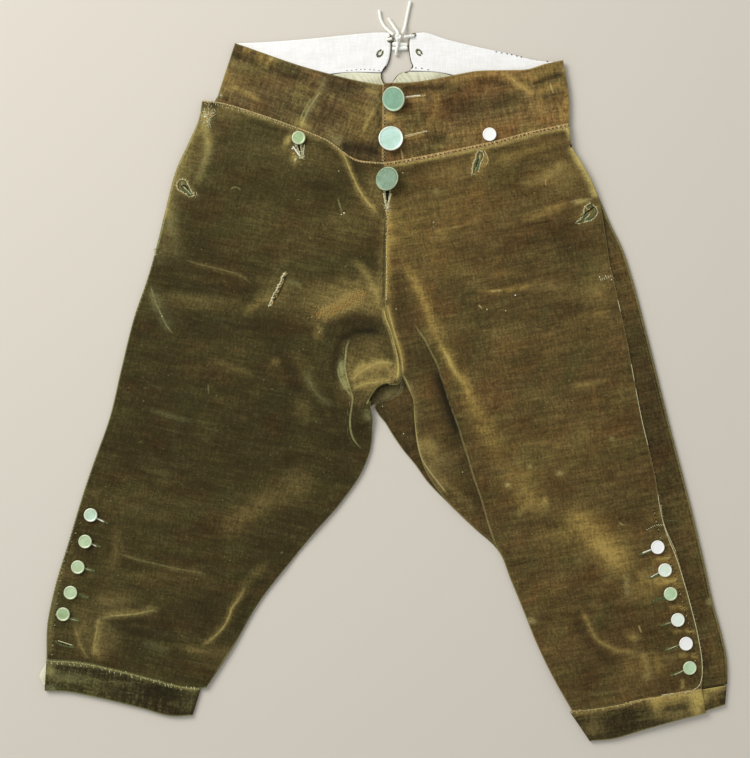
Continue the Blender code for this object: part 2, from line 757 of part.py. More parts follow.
def back_panels():
    """The two backs, as point grids. The left one turns over at its outer edge."""
    across, down = BACK_STEPS
    legs = down - GAP_STEPS - SEAT_STEPS - CURL_STEPS
    centre = (CENTRE_BACK, CROTCH_CURL)
    right_seat, right_curl = (shifted(run, dx=-HALF_SEAM) for run in centre)
    left_seat, left_curl = (shifted(run, dx=HALF_SEAM, dy=-HALF_SEAM) for run in centre)
    right_knee = at_height(shifted(RIGHT_KNEE_SEAM, dy=2 * KNEE_CLEARANCE), TABLE_LAYER)
    right = patch(
        edge((shifted(RIGHT_WAIST, dy=-WAIST_CLEARANCE), across)),
        edge(([RIGHT_BACK_OUTER[-1]] + right_knee[1:-1] + [RIGHT_BACK_INNER[-1]], across)),
        edge((RIGHT_BACK_OUTER, down)),
        edge(
            (RIGHT_CENTRE_BACK_TOP + right_seat[:1], GAP_STEPS),
            (right_seat, SEAT_STEPS),
            (right_curl, CURL_STEPS),
            (right_curl[-1:] + RIGHT_BACK_INNER, legs),
        ),
    )
    left_knee = at_height(shifted(LEFT_KNEE_SEAM, dy=2 * KNEE_CLEARANCE), TABLE_LAYER)
    under = patch(
        edge((shifted(LEFT_WAIST, dy=-WAIST_CLEARANCE), across)),
        edge(([LEFT_BACK_INNER[-1]] + left_knee[1:-1] + [LEFT_BACK_FOLD[-1]], across)),
        edge(
            (LEFT_CENTRE_BACK_TOP + left_seat[:1], GAP_STEPS),
            (left_seat, SEAT_STEPS),
            (left_curl, CURL_STEPS),
            (left_curl[-1:] + LEFT_BACK_INNER, legs),
        ),
        edge((LEFT_BACK_FOLD, down)),
    )
    strip = edge((LEFT_BACK_STRIP, down))
    turn = half_turn(under[:, -1], under[:, -1, :2] - strip[:, :2], rising=1)
    over = straight_run(turn[:, -1], strip, WRAP_STRIP)
    return right, np.concatenate([under, turn, over], axis=1)


def front_waistbands():
    """The front waistband's halves. The left one laps over the right at the centre."""
    across, down = BAND_STEPS
    right = patch(
        edge((FRONT_BAND_RIGHT_TOP, across)),
        edge((FRONT_BAND_RIGHT_FOOT, across)),
        edge((FRONT_BAND_RIGHT_SIDE, down)),
        edge(([FRONT_BAND_RIGHT_TOP[-1], FRONT_BAND_RIGHT_FOOT[-1]], down)),
    )
    left = patch(
        edge((FRONT_BAND_LEFT_TOP, across)),
        edge((FRONT_BAND_LEFT_FOOT, across)),
        edge(([FRONT_BAND_LEFT_TOP[0], FRONT_BAND_LEFT_FOOT[0]], down)),
        edge((FRONT_BAND_LEFT_SIDE, down)),
    )
    return right, left


def back_waistbands():
    """The back waistband's halves, from the sides to the laced ends."""
    across, down = BAND_STEPS
    right = patch(
        edge((BACK_BAND_RIGHT_TOP, across)),
        edge((RIGHT_WAIST, across)),
        edge(([BACK_BAND_RIGHT_TOP[0], RIGHT_WAIST[0]], down)),
        edge((BACK_BAND_RIGHT_END, down)),
    )
    left = patch(
        edge((BACK_BAND_LEFT_TOP, across)),
        edge((LEFT_WAIST, across)),
        edge((BACK_BAND_LEFT_END, down)),
        edge(([BACK_BAND_LEFT_TOP[-1], LEFT_WAIST[-1]], down)),
    )
    return right, left


def seat_linings():
    """The linings of the seat, beside the gap at the centre back."""
    across, down = LINING_STEPS
    right_waist = shifted(RIGHT_WAIST[-2:], dy=-WAIST_CLEARANCE)
    left_waist = shifted(LEFT_WAIST[:2], dy=-WAIST_CLEARANCE)
    right_top = [RIGHT_LINING_END] + at_height(right_waist, LINING_LAYER)
    left_top = at_height(left_waist, LINING_LAYER) + [LEFT_LINING_END]
    right_gap = at_height(RIGHT_CENTRE_BACK_TOP, LINING_LAYER) + [RIGHT_LINING_CORNER]
    left_gap = at_height(LEFT_CENTRE_BACK_TOP, LINING_LAYER) + [LEFT_LINING_CORNER]
    right_foot = Point(RIGHT_LINING_END.x, SEAT_LINING_FOOT, LINING_LAYER)
    left_foot = Point(LEFT_LINING_END.x, SEAT_LINING_FOOT, LINING_LAYER)
    right = patch(
        edge((right_top, across)),
        edge(([right_foot, RIGHT_LINING_CORNER], across)),
        edge(([RIGHT_LINING_END, right_foot], down)),
        edge((right_gap, down)),
    )
    left = patch(
        edge((left_top, across)),
        edge(([LEFT_LINING_CORNER, left_foot], across)),
        edge((left_gap, down)),
        edge(([LEFT_LINING_END, left_foot], down)),
    )
    return right, left


def kneebands():
    """The kneebands, each one strip of cloth that turns over at the side of the knee."""
    across, down = KNEEBAND_STEPS
    right_top = shifted(RIGHT_KNEE_SEAM[:-1], dy=-KNEE_CLEARANCE)
    right_front = patch(
        edge((right_top, across)),
        edge((RIGHT_BAND_FOOT, across)),
        edge(([right_top[0], RIGHT_BAND_FOOT[0]], down)),
        edge(([right_top[-1], RIGHT_BAND_FOOT[-1]], down)),
    )
    inner_turn = half_turn(right_front[:, -1], right_front[:, -1, :2] - right_front[:, -2, :2], rising=-1)
    right_back = right_front[:, -2::-1].copy()
    right_back[..., 2] = TABLE_LAYER
    right = np.concatenate([right_front, inner_turn, right_back], axis=1)

    left_top = shifted(LEFT_KNEE_SEAM, dy=-KNEE_CLEARANCE)
    left_front = patch(
        edge((left_top, across)),
        edge((LEFT_BAND_FOOT, across)),
        edge(([left_top[0], LEFT_BAND_FOOT[0]], down)),
        edge(([left_top[-1], LEFT_BAND_FOOT[-1]], down)),
    )
    end_of_strip = edge(([LEFT_UNDERLAP_TOP[0], LEFT_UNDERLAP_FOOT[0]], down))
    outer_line = edge(([LEFT_UNDERLAP_TOP[1], LEFT_UNDERLAP_FOOT[1]], down))
    outer_turn = half_turn(outer_line, outer_line[:, :2] - end_of_strip[:, :2], rising=-1)
    under = left_front[:, -2::-1].copy()
    under[..., 1] += 2 * KNEE_CLEARANCE
    under[:, -1] = left_front[:, 0]
    under[..., 2] = TABLE_LAYER
    inner_turn = half_turn(under[:, -1], under[:, -1, :2] - under[:, -2, :2], rising=1)
    left = np.concatenate(
        [
            end_of_strip[:, None],
            straight_run(end_of_strip, outer_line, UNDERLAP_STEPS),
            outer_turn,
            under,
            inner_turn,
            left_front[:, 1:],
        ],
        axis=1,
    )
    return right, left


def kneeband_tip():
    """The end of the right kneeband's lining."""
    across, down = TIP_STEPS
    return patch(
        edge((KNEEBAND_TIP_TOP, across)),
        edge((KNEEBAND_TIP_FOOT[1:], across)),
        edge((KNEEBAND_TIP_TOP[:1] + KNEEBAND_TIP_FOOT[:2], down)),
        edge(([KNEEBAND_TIP_TOP[-1], KNEEBAND_TIP_FOOT[-1]], down)),
    )


def add_knot(material):
    """The lace's knot, a small flattened ball."""
    bpy.ops.mesh.primitive_uv_sphere_add(segments=14, ring_count=8, radius=0.5)
    knot = bpy.context.object
    knot.name = "lace_knot"
    knot.data.name = "lace_knot"
    knot.location = tuple(value * MM for value in KNOT)
    knot.scale = tuple(size * MM for size in KNOT_SIZE)
    knot.data.shade_smooth()
    knot.data.materials.append(material)
    for home in list(knot.users_collection):
        home.objects.unlink(knot)
    bpy.data.collections[COLLECTION].objects.link(knot)


def build():
    """Make every piece of the breeches."""
    clear_scene()
    bpy.context.scene.collection.children.link(bpy.data.collections.new(COLLECTION))
    velvet = make_material("worn_olive_velvet", (0.062, 0.042, 0.014), 0.85)
    linen = make_material("white_linen", (0.80, 0.78, 0.70), 0.9)
    lining = make_material("cream_lining", (0.55, 0.54, 0.38), 0.9)
    metal = make_material("pale_metal", (0.36, 0.46, 0.40), 0.35, metallic=0.9)
    cotton = make_material("cotton_lace", (0.78, 0.77, 0.72), 0.9)

    fronts = front_panels()
    front_bands = front_waistbands()
    back_bands = back_waistbands()
    pairs = {
        "front": fronts,
        "back": back_panels(),
        "waistband_front": front_bands,
        "waistband_back": back_bands,
        "kneeband": kneebands(),
    }
    for name, pair in pairs.items():
        for side, cloth in zip(("right", "left"), pair):
            cloth_piece(f"{name}_{side}", cloth, velvet)
    for side, band, seat in zip(("right", "left"), back_bands, seat_linings()):
        band_lining = band.copy()
        band_lining[..., 2] = LINING_LAYER
        cloth_piece(f"waistband_lining_{side}", band_lining, linen, wall=LINEN)
        cloth_piece(f"seat_lining_{side}", seat, lining, wall=LINEN)
    cloth_piece("kneeband_lining_right", kneeband_tip(), lining, wall=LINEN)

    large = button_mesh("large_button", LARGE_BUTTON)
    small = button_mesh("small_button", SMALL_BUTTON)
    for mesh in (large, small):
        mesh.materials.append(metal)
    add_buttons(LARGE_BUTTONS[:2], large, LARGE_BUTTON, front_bands[1])
    add_buttons(LARGE_BUTTONS[2:], large, LARGE_BUTTON, fronts[1])
    add_buttons(FALL_BUTTONS[:1], small, SMALL_BUTTON, fronts[0])
    add_buttons(FALL_BUTTONS[1:], small, SMALL_BUTTON, front_bands[1])
    add_buttons(KNEE_BUTTONS_RIGHT, small, SMALL_BUTTON, fronts[0])
    add_buttons(KNEE_BUTTONS_LEFT, small, SMALL_BUTTON, fronts[1])

    for name, route in LACE_RUNS.items():
        add_lace(name, route, cotton)
    add_knot(cotton)


build()
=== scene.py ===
"""Knee breeches in worn olive-brown velvet, laid flat on a table with the front up.

The garment lies in the XY plane with its waist towards +Y. Right and left are the wearer's, so the
right leg lies on the -X side. Every sheet of cloth is a patch stretched between its own seams, with
its creases, its worn tones and its painted shade and sheen laid on from given tables. Sizes are in
millimetres until a mesh is made.
"""
import logging
import math
from dataclasses import dataclass, field
from enum import Enum
from typing import Iterable, Sequence

import bpy
import numpy as np
from mathutils.bvhtree import BVHTree
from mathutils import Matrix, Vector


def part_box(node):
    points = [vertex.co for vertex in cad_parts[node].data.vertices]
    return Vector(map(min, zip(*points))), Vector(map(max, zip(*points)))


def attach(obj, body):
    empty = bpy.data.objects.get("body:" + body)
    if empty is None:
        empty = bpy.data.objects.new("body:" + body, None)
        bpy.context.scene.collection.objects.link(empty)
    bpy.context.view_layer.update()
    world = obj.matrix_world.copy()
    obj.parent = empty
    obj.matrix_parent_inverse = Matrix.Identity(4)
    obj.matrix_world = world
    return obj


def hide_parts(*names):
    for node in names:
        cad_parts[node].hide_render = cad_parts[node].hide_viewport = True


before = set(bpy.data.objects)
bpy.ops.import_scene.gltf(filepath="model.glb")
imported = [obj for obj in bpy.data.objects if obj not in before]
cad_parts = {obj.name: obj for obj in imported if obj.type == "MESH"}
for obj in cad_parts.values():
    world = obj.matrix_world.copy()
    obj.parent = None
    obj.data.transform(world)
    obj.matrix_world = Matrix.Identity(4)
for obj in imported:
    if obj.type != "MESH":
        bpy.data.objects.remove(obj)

Array = np.ndarray
Material = bpy.types.Material
Item = bpy.types.Object
Socket = bpy.types.NodeSocket
Row = tuple[float, float, float]
Place = tuple[float, float]

log = logging.getLogger("breeches")

MM = 0.001
ROOT = "root"

# Walls, the steps between the layers and the heights of the middle of each layer.
VELVET_WALL = 1.6
LINEN_WALL = 1.0
HALF_SEAM = 0.2
WAIST_CLEARANCE = 1.0
KNEE_CLEARANCE = 0.5
FOLD_RADIUS = 1.6
TABLE = 0.8
LINING = 2.4
FIRST = 2.7
BAND = 4.0
OVERLAP = 5.9
FALL = 7.8


def laid(height: float, *places: Place) -> tuple[Row, ...]:
    """Places that all lie at one height, as points."""
    return tuple((x, y, height) for x, y in places)


# --- Seams and edges. Columns: x, y, height of the middle of the cloth ---

FALL_TOP_RIGHT = (
    laid(OVERLAP, (-199, 313), (-184, 312))
    + ((-147, 302, 6.0), (-93, 283, 6.5))
    + laid(FALL, (-62, 270), (-29, 248), (0, 245))
)
FALL_TOP_LEFT = laid(FALL, (0, 245), (31, 250), (81, 260), (123, 269), (164, 280), (203, 288))
CENTRE_SEAM = (
    (0, 245, FALL), (3, 209, FALL), (4, 188, 6.8), (3, 160, 5.0), (2, 118, 4.4), (2, 85, 4.6), (9, 60, 5.6),
    (17, 30, 6.6), (21, 10, 6.4),
)
RIGHT_CROTCH = ((17, 3, 8.0), (8, 2, 9.4), (-4, -1, 9.4), (-11, -8, 8.2), (-14, -17, 6.2), (-12, -35, 3.2))
RIGHT_INNER_LEG = (
    laid(FIRST, (-14, -67), (-24, -94), (-45, -125), (-78, -163), (-101, -191), (-136, -236))
    + ((-167, -289, 3.4), (-194, -330, BAND))
)
RIGHT_SIDE = (
    (-199, 313, OVERLAP), (-202, 295, OVERLAP), (-213, 269, OVERLAP), (-227, 239, 4.2), (-240, 191, FIRST),
    (-251, 147, FIRST), (-261, 113, FIRST), (-273, 79, FIRST), (-288, 19, FIRST), (-301, -35, FIRST),
    (-314, -72, FIRST), (-325, -103, FIRST), (-344, -165, FIRST), (-363, -230, 3.2), (-369, -261, 3.6),
    (-370, -300, BAND),
)
RIGHT_KNEE_SEAM = laid(
    BAND, (-370, -300), (-331, -303), (-294, -311), (-258, -320), (-222, -329), (-203, -331), (-194, -330),
)
LEFT_INNER_LEG = (
    (27, -2, 4.4), (31, -10, 3.4), (34, -37, FIRST), (38, -69, FIRST), (48, -96, FIRST), (70, -126, FIRST),
    (98, -153, FIRST), (124, -176, FIRST), (140, -213, FIRST), (154, -247, FIRST), (169, -284, FIRST),
    (187, -321, 3.4), (207, -356, BAND),
)
LEFT_SIDE = (
    laid(FALL, (203, 288), (207, 262), (218, 244))
    + ((236, 206, 6.4),)
    + laid(
        OVERLAP, (243, 169), (249, 130), (257, 95), (266, 55), (275, 6), (283, -35), (297, -94),
        (308, -152), (321, -182), (330, -215), (339, -248), (346, -277), (350, -308), (349, -331),
    )
)
LEFT_KNEE_SEAM = (
    (207, -356, BAND), (240, -352, BAND), (295, -341, 4.8), (321, -336, OVERLAP), (349, -331, OVERLAP),
)

# The centre back, from the waistband down to the crotch. The backs part at the top.
RIGHT_CENTRE_BACK_TOP = laid(TABLE, (-2, 344), (-2, 339), (2, 331))
LEFT_CENTRE_BACK_TOP = laid(TABLE, (28, 346), (19, 344), (13, 338), (8, 330))
CENTRE_BACK = laid(TABLE, (4, 310), (3, 200), (5, 95), (17, 38), (22, 9))
CROTCH_CURL = laid(TABLE, (22, 9), (19, -5), (9, -13), (-5, -17))
RIGHT_BACK_INNER = laid(
    TABLE, (-14, -22), (-14, -45), (-17, -68), (-27, -95), (-48, -126), (-104, -192), (-139, -237),
    (-170, -290), (-196, -330),
)
LEFT_BACK_INNER = laid(
    TABLE, (-8, -19), (4, -43), (21, -69), (35, -86), (47, -103), (70, -127), (99, -155), (125, -179),
    (142, -214), (171, -286), (209, -355),
)
RIGHT_BACK_OUTER = laid(
    TABLE, (-183, 318), (-197, 295), (-211, 267), (-225, 237), (-249, 147), (-271, 79), (-298, -35),
    (-323, -103), (-342, -165), (-366, -261), (-368, -299),
)
# Where the left back turns over to the front, and the end of the strip that shows.
LEFT_BACK_FOLD = laid(
    TABLE, (201, 298), (205, 262), (220, 235), (235, 206), (247, 178), (260, 151), (270, 121), (286, 61),
    (310, -35), (338, -143), (350, -194), (360, -239), (369, -272), (375, -301), (375.5, -327),
)
LEFT_BACK_STRIP = laid(
    BAND, (187, 296), (192, 260), (205, 232), (219, 203), (229, 172), (240, 130), (257, 55), (275, -35),
    (298, -150), (315, -194), (326, -239), (334, -272), (341, -303), (342, -333),
)
RIGHT_WAIST = laid(TABLE, (-182, 319), (-100, 336), (-42, 345), (-2, 345))
LEFT_WAIST = laid(TABLE, (28, 347), (62, 345), (110, 332), (201, 299))

# Waistbands: upper edge, lower edge and ends.
FRONT_BAND_RIGHT_TOP = laid(BAND, (-163, 377), (-77, 348), (0, 331), (24, 329))
FRONT_BAND_RIGHT_FOOT = laid(BAND, (-190, 293), (-93, 262), (-29, 224), (24, 216))
FRONT_BAND_RIGHT_SIDE = laid(BAND, (-163, 377), (-184, 312), (-190, 293))
FRONT_BAND_LEFT_TOP = laid(
    OVERLAP, (0, 333), (33, 334), (69, 340), (102, 346), (137, 347), (158, 348), (178, 354), (197, 358),
)
FRONT_BAND_LEFT_FOOT = laid(OVERLAP, (0, 216), (31, 222), (122, 246), (203, 266))
FRONT_BAND_LEFT_SIDE = laid(OVERLAP, (197, 358), (203, 322), (203, 266))
BACK_BAND_RIGHT_TOP = laid(TABLE, (-161, 377), (-120, 379), (-82, 382), (-42, 386), (-8, 388.9), (8, 388.9))
BACK_BAND_RIGHT_END = laid(TABLE, (8, 388.9), (8, 366), (6, 357), (3, 351), (-2, 345))
BACK_BAND_LEFT_TOP = laid(
    TABLE, (28, 387), (44, 388.9), (67, 382), (108, 372), (137, 366), (164, 359), (195, 356),
)
BACK_BAND_LEFT_END = laid(TABLE, (28, 387), (28, 368), (30, 357), (32, 351), (28, 347))

# Kneebands: the lower edges of the front run, and the left one's underlap.
RIGHT_BAND_FOOT = laid(
    BAND, (-372, -334), (-349, -335), (-312, -342), (-270, -352), (-228, -362), (-212, -361),
)
LEFT_BAND_FOOT = (
    (229, -388.9, BAND), (251, -387, BAND), (282, -378, 4.8), (320, -367, OVERLAP), (354, -358, OVERLAP),
)
LEFT_UNDERLAP_TOP = laid(BAND, (342, -334), (374.8, -328.4))
LEFT_UNDERLAP_FOOT = laid(BAND, (342, -360), (373, -350))
KNEEBAND_TIP_TOP = laid(LINING, (-370.5, -304), (-358, -306))
KNEEBAND_TIP_FOOT = laid(LINING, (-377.9, -320), (-373, -329), (-358, -329))

# The seat lining beside the gap: how far it reaches from the centre back, and down.
SEAT_LINING_FOOT = 309
RIGHT_LINING_END = (-70, 340, LINING)
LEFT_LINING_END = (92, 336, LINING)
RIGHT_LINING_CORNER = (3, SEAT_LINING_FOOT, LINING)
LEFT_LINING_CORNER = (6, SEAT_LINING_FOOT, LINING)

# The lace. Rows are points of each run's route.
LACE_DIAMETER = 3.4
KNOT = (16, 382.5, 7.1)
LACE_CROSSINGS = (
    ((9.6, 376.6, 2.2), (26.6, 375.4, 2.2)),
    ((9.4, 371.2, 2.2), (26.6, 371.8, 2.2)),
    ((34, 385, 4.9), (28, 384.4, 5.2), (22.4, 383.4, 6.2)),
    ((3.5, 380.6, 4.9), (9.6, 381.8, 5.8)),
)
LACE_END_LEFT = (
    (11.0, 385.6, 6.2), (6.5, 389.5, 5.4), (2, 394, 3.4), (-2.5, 402, 2.0), (-5, 414, 1.9),
)
LACE_END_RIGHT = (
    (20.4, 387.2, 6.2), (22.5, 392, 4.4), (24, 398, 2.6), (26, 408, 1.9), (29.5, 424, 1.9),
)
# One run, from the strand's foot up through the knot to the short end.
LACE_SHORT_RUN = (
    (13.6, 363.6, 1.9), (13.8, 366.4, 3.8), (14.4, 370.4, 5.7), (15.4, 376.4, 5.9),
    (15.8, 382.4, 6.6), (15.4, 388.4, 6.4), (12.5, 393, 4.6), (9, 399, 2.4), (5, 405, 1.9),
)


# --- Curves, in millimetres ---

def smooth_curve(points: Sequence[Sequence[float]], count: int) -> Array:
    """Sample a smooth curve through some points.

    Each span is a cubic Hermite curve over its chord length, with slopes from its neighbours.

    Args:
        points: the points that the curve passes through.
        count: how many samples, evenly spaced by chord length.

    Returns:
        The samples, count by the points' own width.
    """
    knots = np.array(points, dtype=float)
    chords = np.linalg.norm(np.diff(knots, axis=0), axis=1)
    marks = np.concatenate([[0.0], np.cumsum(chords)])
    slopes = np.gradient(knots, marks, axis=0)
    where = np.linspace(0.0, marks[-1], count)
    i = np.clip(np.searchsorted(marks, where, side="right") - 1, 0, len(marks) - 2)
    span = (marks[i + 1] - marks[i])[:, None]
    t = (where - marks[i])[:, None] / span
    return (
        (1 + 2 * t) * (1 - t) ** 2 * knots[i] + t * (1 - t) ** 2 * span * slopes[i]
        + t ** 2 * (3 - 2 * t) * knots[i + 1] + t ** 2 * (t - 1) * span * slopes[i + 1]
    )


def curve_by_step(points: Sequence[Sequence[float]], step: float) -> Array:
    """Sample a smooth curve about every `step` millimetres."""
    length = np.linalg.norm(np.diff(np.array(points, dtype=float), axis=0), axis=1).sum()
    return smooth_curve(points, max(4, round(length / step) + 1))


def edge(*stretches: tuple[Sequence[Row], int]) -> Array:
    """Join stretches, each (points, steps), that meet end to end into one sampled edge."""
    runs = [smooth_curve(points, steps + 1) for points, steps in stretches]
    return np.concatenate([runs[0]] + [run[1:] for run in runs[1:]])


def shifted(points: Sequence[Row], dx: float = 0.0, dy: float = 0.0) -> tuple[Row, ...]:
    """The same edge, moved."""
    return tuple((x + dx, y + dy, z) for x, y, z in points)


def at_height(points: Sequence[Row], z: float) -> tuple[Row, ...]:
    """The same edge, laid at one height."""
    return tuple((x, y, z) for x, y, _ in points)


def patch(top: Array, foot: Array, left: Array, right: Array) -> Array:
    """Blend four sampled edges into a Coons patch.

    The patch is the blend of top and foot, plus the blend of left and right, less the
    bilinear blend of the corners.

    Args:
        top, foot: edges from left to right.
        left, right: edges from top to foot.

    Returns:
        Points as rows by columns by 3.
    """
    u = np.linspace(0, 1, len(top))[None, :, None]
    v = np.linspace(0, 1, len(left))[:, None, None]
    t, f = top[None], foot[None]
    a, b = left[:, None], right[:, None]
    corners = (1 - v) * ((1 - u) * t[:, :1] + u * t[:, -1:]) + v * ((1 - u) * f[:, :1] + u * f[:, -1:])
    return (1 - v) * t + v * f + (1 - u) * a + u * b - corners


def panel(
    across: int, down: int, top: Sequence[Row], foot: Sequence[Row], left: Sequence[Row] = (),
    right: Sequence[Row] = (),
) -> Array:
    """The patch of so many steps between four edges, with a straight side where none is given."""
    sides = left or (top[0], foot[0]), right or (top[-1], foot[-1])
    return patch(*(edge(run) for run in zip((top, foot, *sides), (across, across, down, down))))


def half_turn(line: Array, outward: Array, rising: int, steps: int) -> Array:
    """Columns that turn the cloth over at a line, a half circle of FOLD_RADIUS outwards.

    Args:
        line: the points where the turn starts.
        outward: which way is out, for each point.
        rising: 1 where the cloth turns up and back, -1 where it turns under.
        steps: columns in the turn.

    Returns:
        The columns after the line.
    """
    outward = outward / np.linalg.norm(outward, axis=1, keepdims=True)
    angle = np.linspace(0, math.pi, steps + 1)[1:]
    columns = np.repeat(line[:, None], steps, axis=1)
    columns[..., :2] += outward[:, None] * FOLD_RADIUS * np.sin(angle)[None, :, None]
    columns[..., 2] += rising * FOLD_RADIUS * (1 - np.cos(angle))[None]
    return columns


def straight_run(start: Array, end: Array, steps: int) -> Array:
    """Columns that run straight from one line of points to another, without the first."""
    share = np.linspace(0, 1, steps + 1)[1:][None, :, None]
    return start[:, None] + (end - start)[:, None] * share


def across_line(xy: Array, line: Sequence[Place]) -> tuple[Array, Array, Array]:
    """Find where points lie beside a smooth line.

    The nearest sample of the line gives the place along it. The offset from there, taken
    square to the line, is the distance across, positive on the right of a line that runs
    down the page.

    Args:
        xy: points, n by 2.
        line: the line's own points.

    Returns:
        The distance across, the share of the way along, and how far past an end.
    """
    samples = curve_by_step(line, 1.5)
    runs = np.gradient(samples, axis=0)
    runs /= np.linalg.norm(runs, axis=1, keepdims=True)
    offset = xy[:, None] - samples[None]
    nearest = np.argmin((offset ** 2).sum(axis=-1), axis=-1)
    offset = offset[np.arange(len(xy)), nearest]
    run = runs[nearest]
    across = run[:, 0] * offset[:, 1] - run[:, 1] * offset[:, 0]
    last = len(samples) - 1
    beyond = np.where((nearest == 0) | (nearest == last), np.abs((run * offset).sum(axis=1)), 0.0)
    return across, nearest / last, beyond


# --- What time has done to the cloth, and the shade and sheen painted on it ---

@dataclass(frozen=True)
class Mark:
    """A soft crease along a line, a ridge or, under 0, a trough, with worn gold, with pale for pressed
    pile and painted sheen, and with dark for painted shade.

    `left` and `right` are its reach on each side. It dies away over the share `fade` at each end.
    """

    line: Sequence[Place]
    lift: float = 0.0
    left: float = 6.0
    right: float = 6.0
    gold: float = 0.0
    pale: float = 0.0
    dark: float = 0.0
    fade: float = 0.22


@dataclass(frozen=True)
class Stroke:
    """A thin crisp line in the pile, pale where rubbing has worn it and as a painted sheen on crests and
    fold edges, dark as painted shade where it is folded in.
    """

    line: Sequence[Place]
    pale: float = 0.0
    dark: float = 0.0
    channel: int = 0
    fade: float = 0.12


@dataclass(frozen=True)
class Stain:
    """A soft oval patch: its middle, half length, half width, turn in degrees, worn gold, pale for
    pressed pile and painted sheen, and dark for darker pile and painted shade.
    """

    x: float
    y: float
    long: float
    wide: float
    turn: float
    gold: float = 0.0
    pale: float = 0.0
    dark: float = 0.0


@dataclass
class Cloth:
    """A sheet of cloth as a grid of points at the middle of its wall, worn, with painted shade and sheen.

    `tone` holds worn gold, pale for pressed pile and painted sheen, and dark for painted shade and
    darker pile. `strokes` holds two channels of thin lines, each with the distance from the line and
    its pale and dark strength, so that a line stays thinner than the grid.
    """

    points: Array
    tone: Array = field(init=False)
    strokes: Array = field(init=False)

    FAR = 9.0          # the distance stored away from every thin line
    STROKE_REACH = 4.5  # how far from a thin line its strength is kept

    def __post_init__(self) -> None:
        """Start with unworn cloth."""
        rows, columns = self.points.shape[:2]
        self.tone = np.zeros((rows, columns, 3))
        self.strokes = np.zeros((2, rows, columns, 3))
        self.strokes[..., 0] = self.FAR

    def crown(self, height: float) -> None:
        """Raise the middle: height times sin(pi u) times the root of sin(pi v)."""
        rows, columns = self.points.shape[:2]
        u = np.linspace(0, 1, columns)[None]
        v = np.linspace(0, 1, rows)[:, None]
        self.points[..., 2] += height * np.sin(math.pi * u) * np.sin(math.pi * v) ** 0.5

    def seam_fade(self, share: float) -> Array:
        """A factor that is 0 at the top and foot seams and 1 a share of the way in."""
        v = np.linspace(0, 1, len(self.points))[:, None]
        return np.clip(np.minimum(v, 1 - v) / share, 0, 1)

    def beside(self, line: Sequence[Place], reach: float, fade: float) -> tuple[Array, ...]:
        """Find the grid points in a line's box, widened by its reach, and how they lie to it.

        Returns:
            Which points, their distance across, their share of strength towards the ends, a ramp
            from 0 to 1 over the fade, and how far past an end they are.
        """
        places = np.array(line, dtype=float)
        xy = self.points[..., :2]
        box = np.all((xy > places.min(axis=0) - reach) & (xy < places.max(axis=0) + reach), axis=-1)
        across, along, beyond = across_line(xy[box], line)
        return box, across, np.clip(np.minimum(along, 1 - along) / fade, 0, 1), beyond

    def worn_and_painted_tone(
        self, marks: Iterable[tuple] = (), strokes: Iterable[tuple] = (), stains: Iterable[tuple] = (),
        seam_share: float = 0.06,
    ) -> None:
        """Lay on everything that time has done, and the painted shade and sheen, from tables of marks,
        strokes and stains.

        A mark lifts by exp(-(distance / reach) squared), less near the top and foot seams. A
        stroke keeps its distance and strengths. A stain tints by exp(-(length share squared +
        width share squared)).

        Args:
            marks, strokes, stains: rows with the columns of Mark, Stroke and Stain.
            seam_share: of the sheet's length, over which the marks die away at the seams.
        """
        keep = np.broadcast_to(self.seam_fade(seam_share), self.points.shape[:2])
        for item in (Mark(*row) for row in marks):
            box, across, ends, beyond = self.beside(item.line, 2.6 * max(item.left, item.right), item.fade)
            reach = np.where(across > 0, item.right, item.left)
            share = ends * ends * (3 - 2 * ends) * np.exp(-(across ** 2 + beyond ** 2) / reach ** 2)
            self.points[box, 2] += item.lift * share * keep[box]
            self.tone[box] += share[:, None] * np.array([item.gold, item.pale, item.dark])
        for item in (Stroke(*row) for row in strokes):
            box, across, ends, beyond = self.beside(item.line, self.STROKE_REACH + 2, item.fade)
            share = ends * np.clip((self.STROKE_REACH - np.abs(across)) / 2, 0, 1) * (beyond < 2)
            channel = self.strokes[item.channel]
            old = channel[box]
            new = np.stack([across, item.pale * share, item.dark * share], axis=-1)
            closer = (np.abs(across) < np.abs(old[:, 0])) & (np.abs(across) < self.STROKE_REACH)
            channel[box] = np.where(closer[:, None], new, old)
        for item in (Stain(*row) for row in stains):
            turn = math.radians(item.turn)
            x, y = self.points[..., 0] - item.x, self.points[..., 1] - item.y
            long = (x * math.cos(turn) + y * math.sin(turn)) / item.long
            wide = (y * math.cos(turn) - x * math.sin(turn)) / item.wide
            share = np.exp(-(long ** 2 + wide ** 2))
            self.tone += share[..., None] * np.array([item.gold, item.pale, item.dark])

    def ripple(self, height: float, size: float, turn: float) -> None:
        """Add the slow unevenness of laid cloth: a sum of long sine waves of unlike slants.

        Args:
            height: of one wave.
            size: the shortest wave's length.
            turn: the way the waves run, in degrees.
        """
        x, y = self.points[..., 0], self.points[..., 1]
        total = np.zeros(x.shape)
        for k, (slant, stretch, phase) in enumerate(
            ((0, 1.0, 0.4), (24, 1.37, 2.1), (-31, 1.83, 4.0), (67, 2.3, 1.2), (-72, 2.9, 5.1))
        ):
            way = math.radians(turn + slant)
            wave = 2 * math.pi / (size * stretch)
            bend = 0.9 * np.sin(wave * 0.31 * (y * math.cos(way) - x * math.sin(way)) + k)
            total += np.sin(wave * (x * math.cos(way) + y * math.sin(way)) + phase + bend)
        self.points[..., 2] += height * total * self.seam_fade(0.05)

    def lengths(self) -> tuple[Array, Array]:
        """Length run along each row from the left, and along each column from the top."""
        across, down = (np.linalg.norm(np.diff(self.points, axis=axis), axis=-1) for axis in (1, 0))
        run_across = np.pad(np.cumsum(across, axis=1), ((0, 0), (1, 0)))
        return run_across, np.pad(np.cumsum(down, axis=0), ((1, 0), (0, 0)))

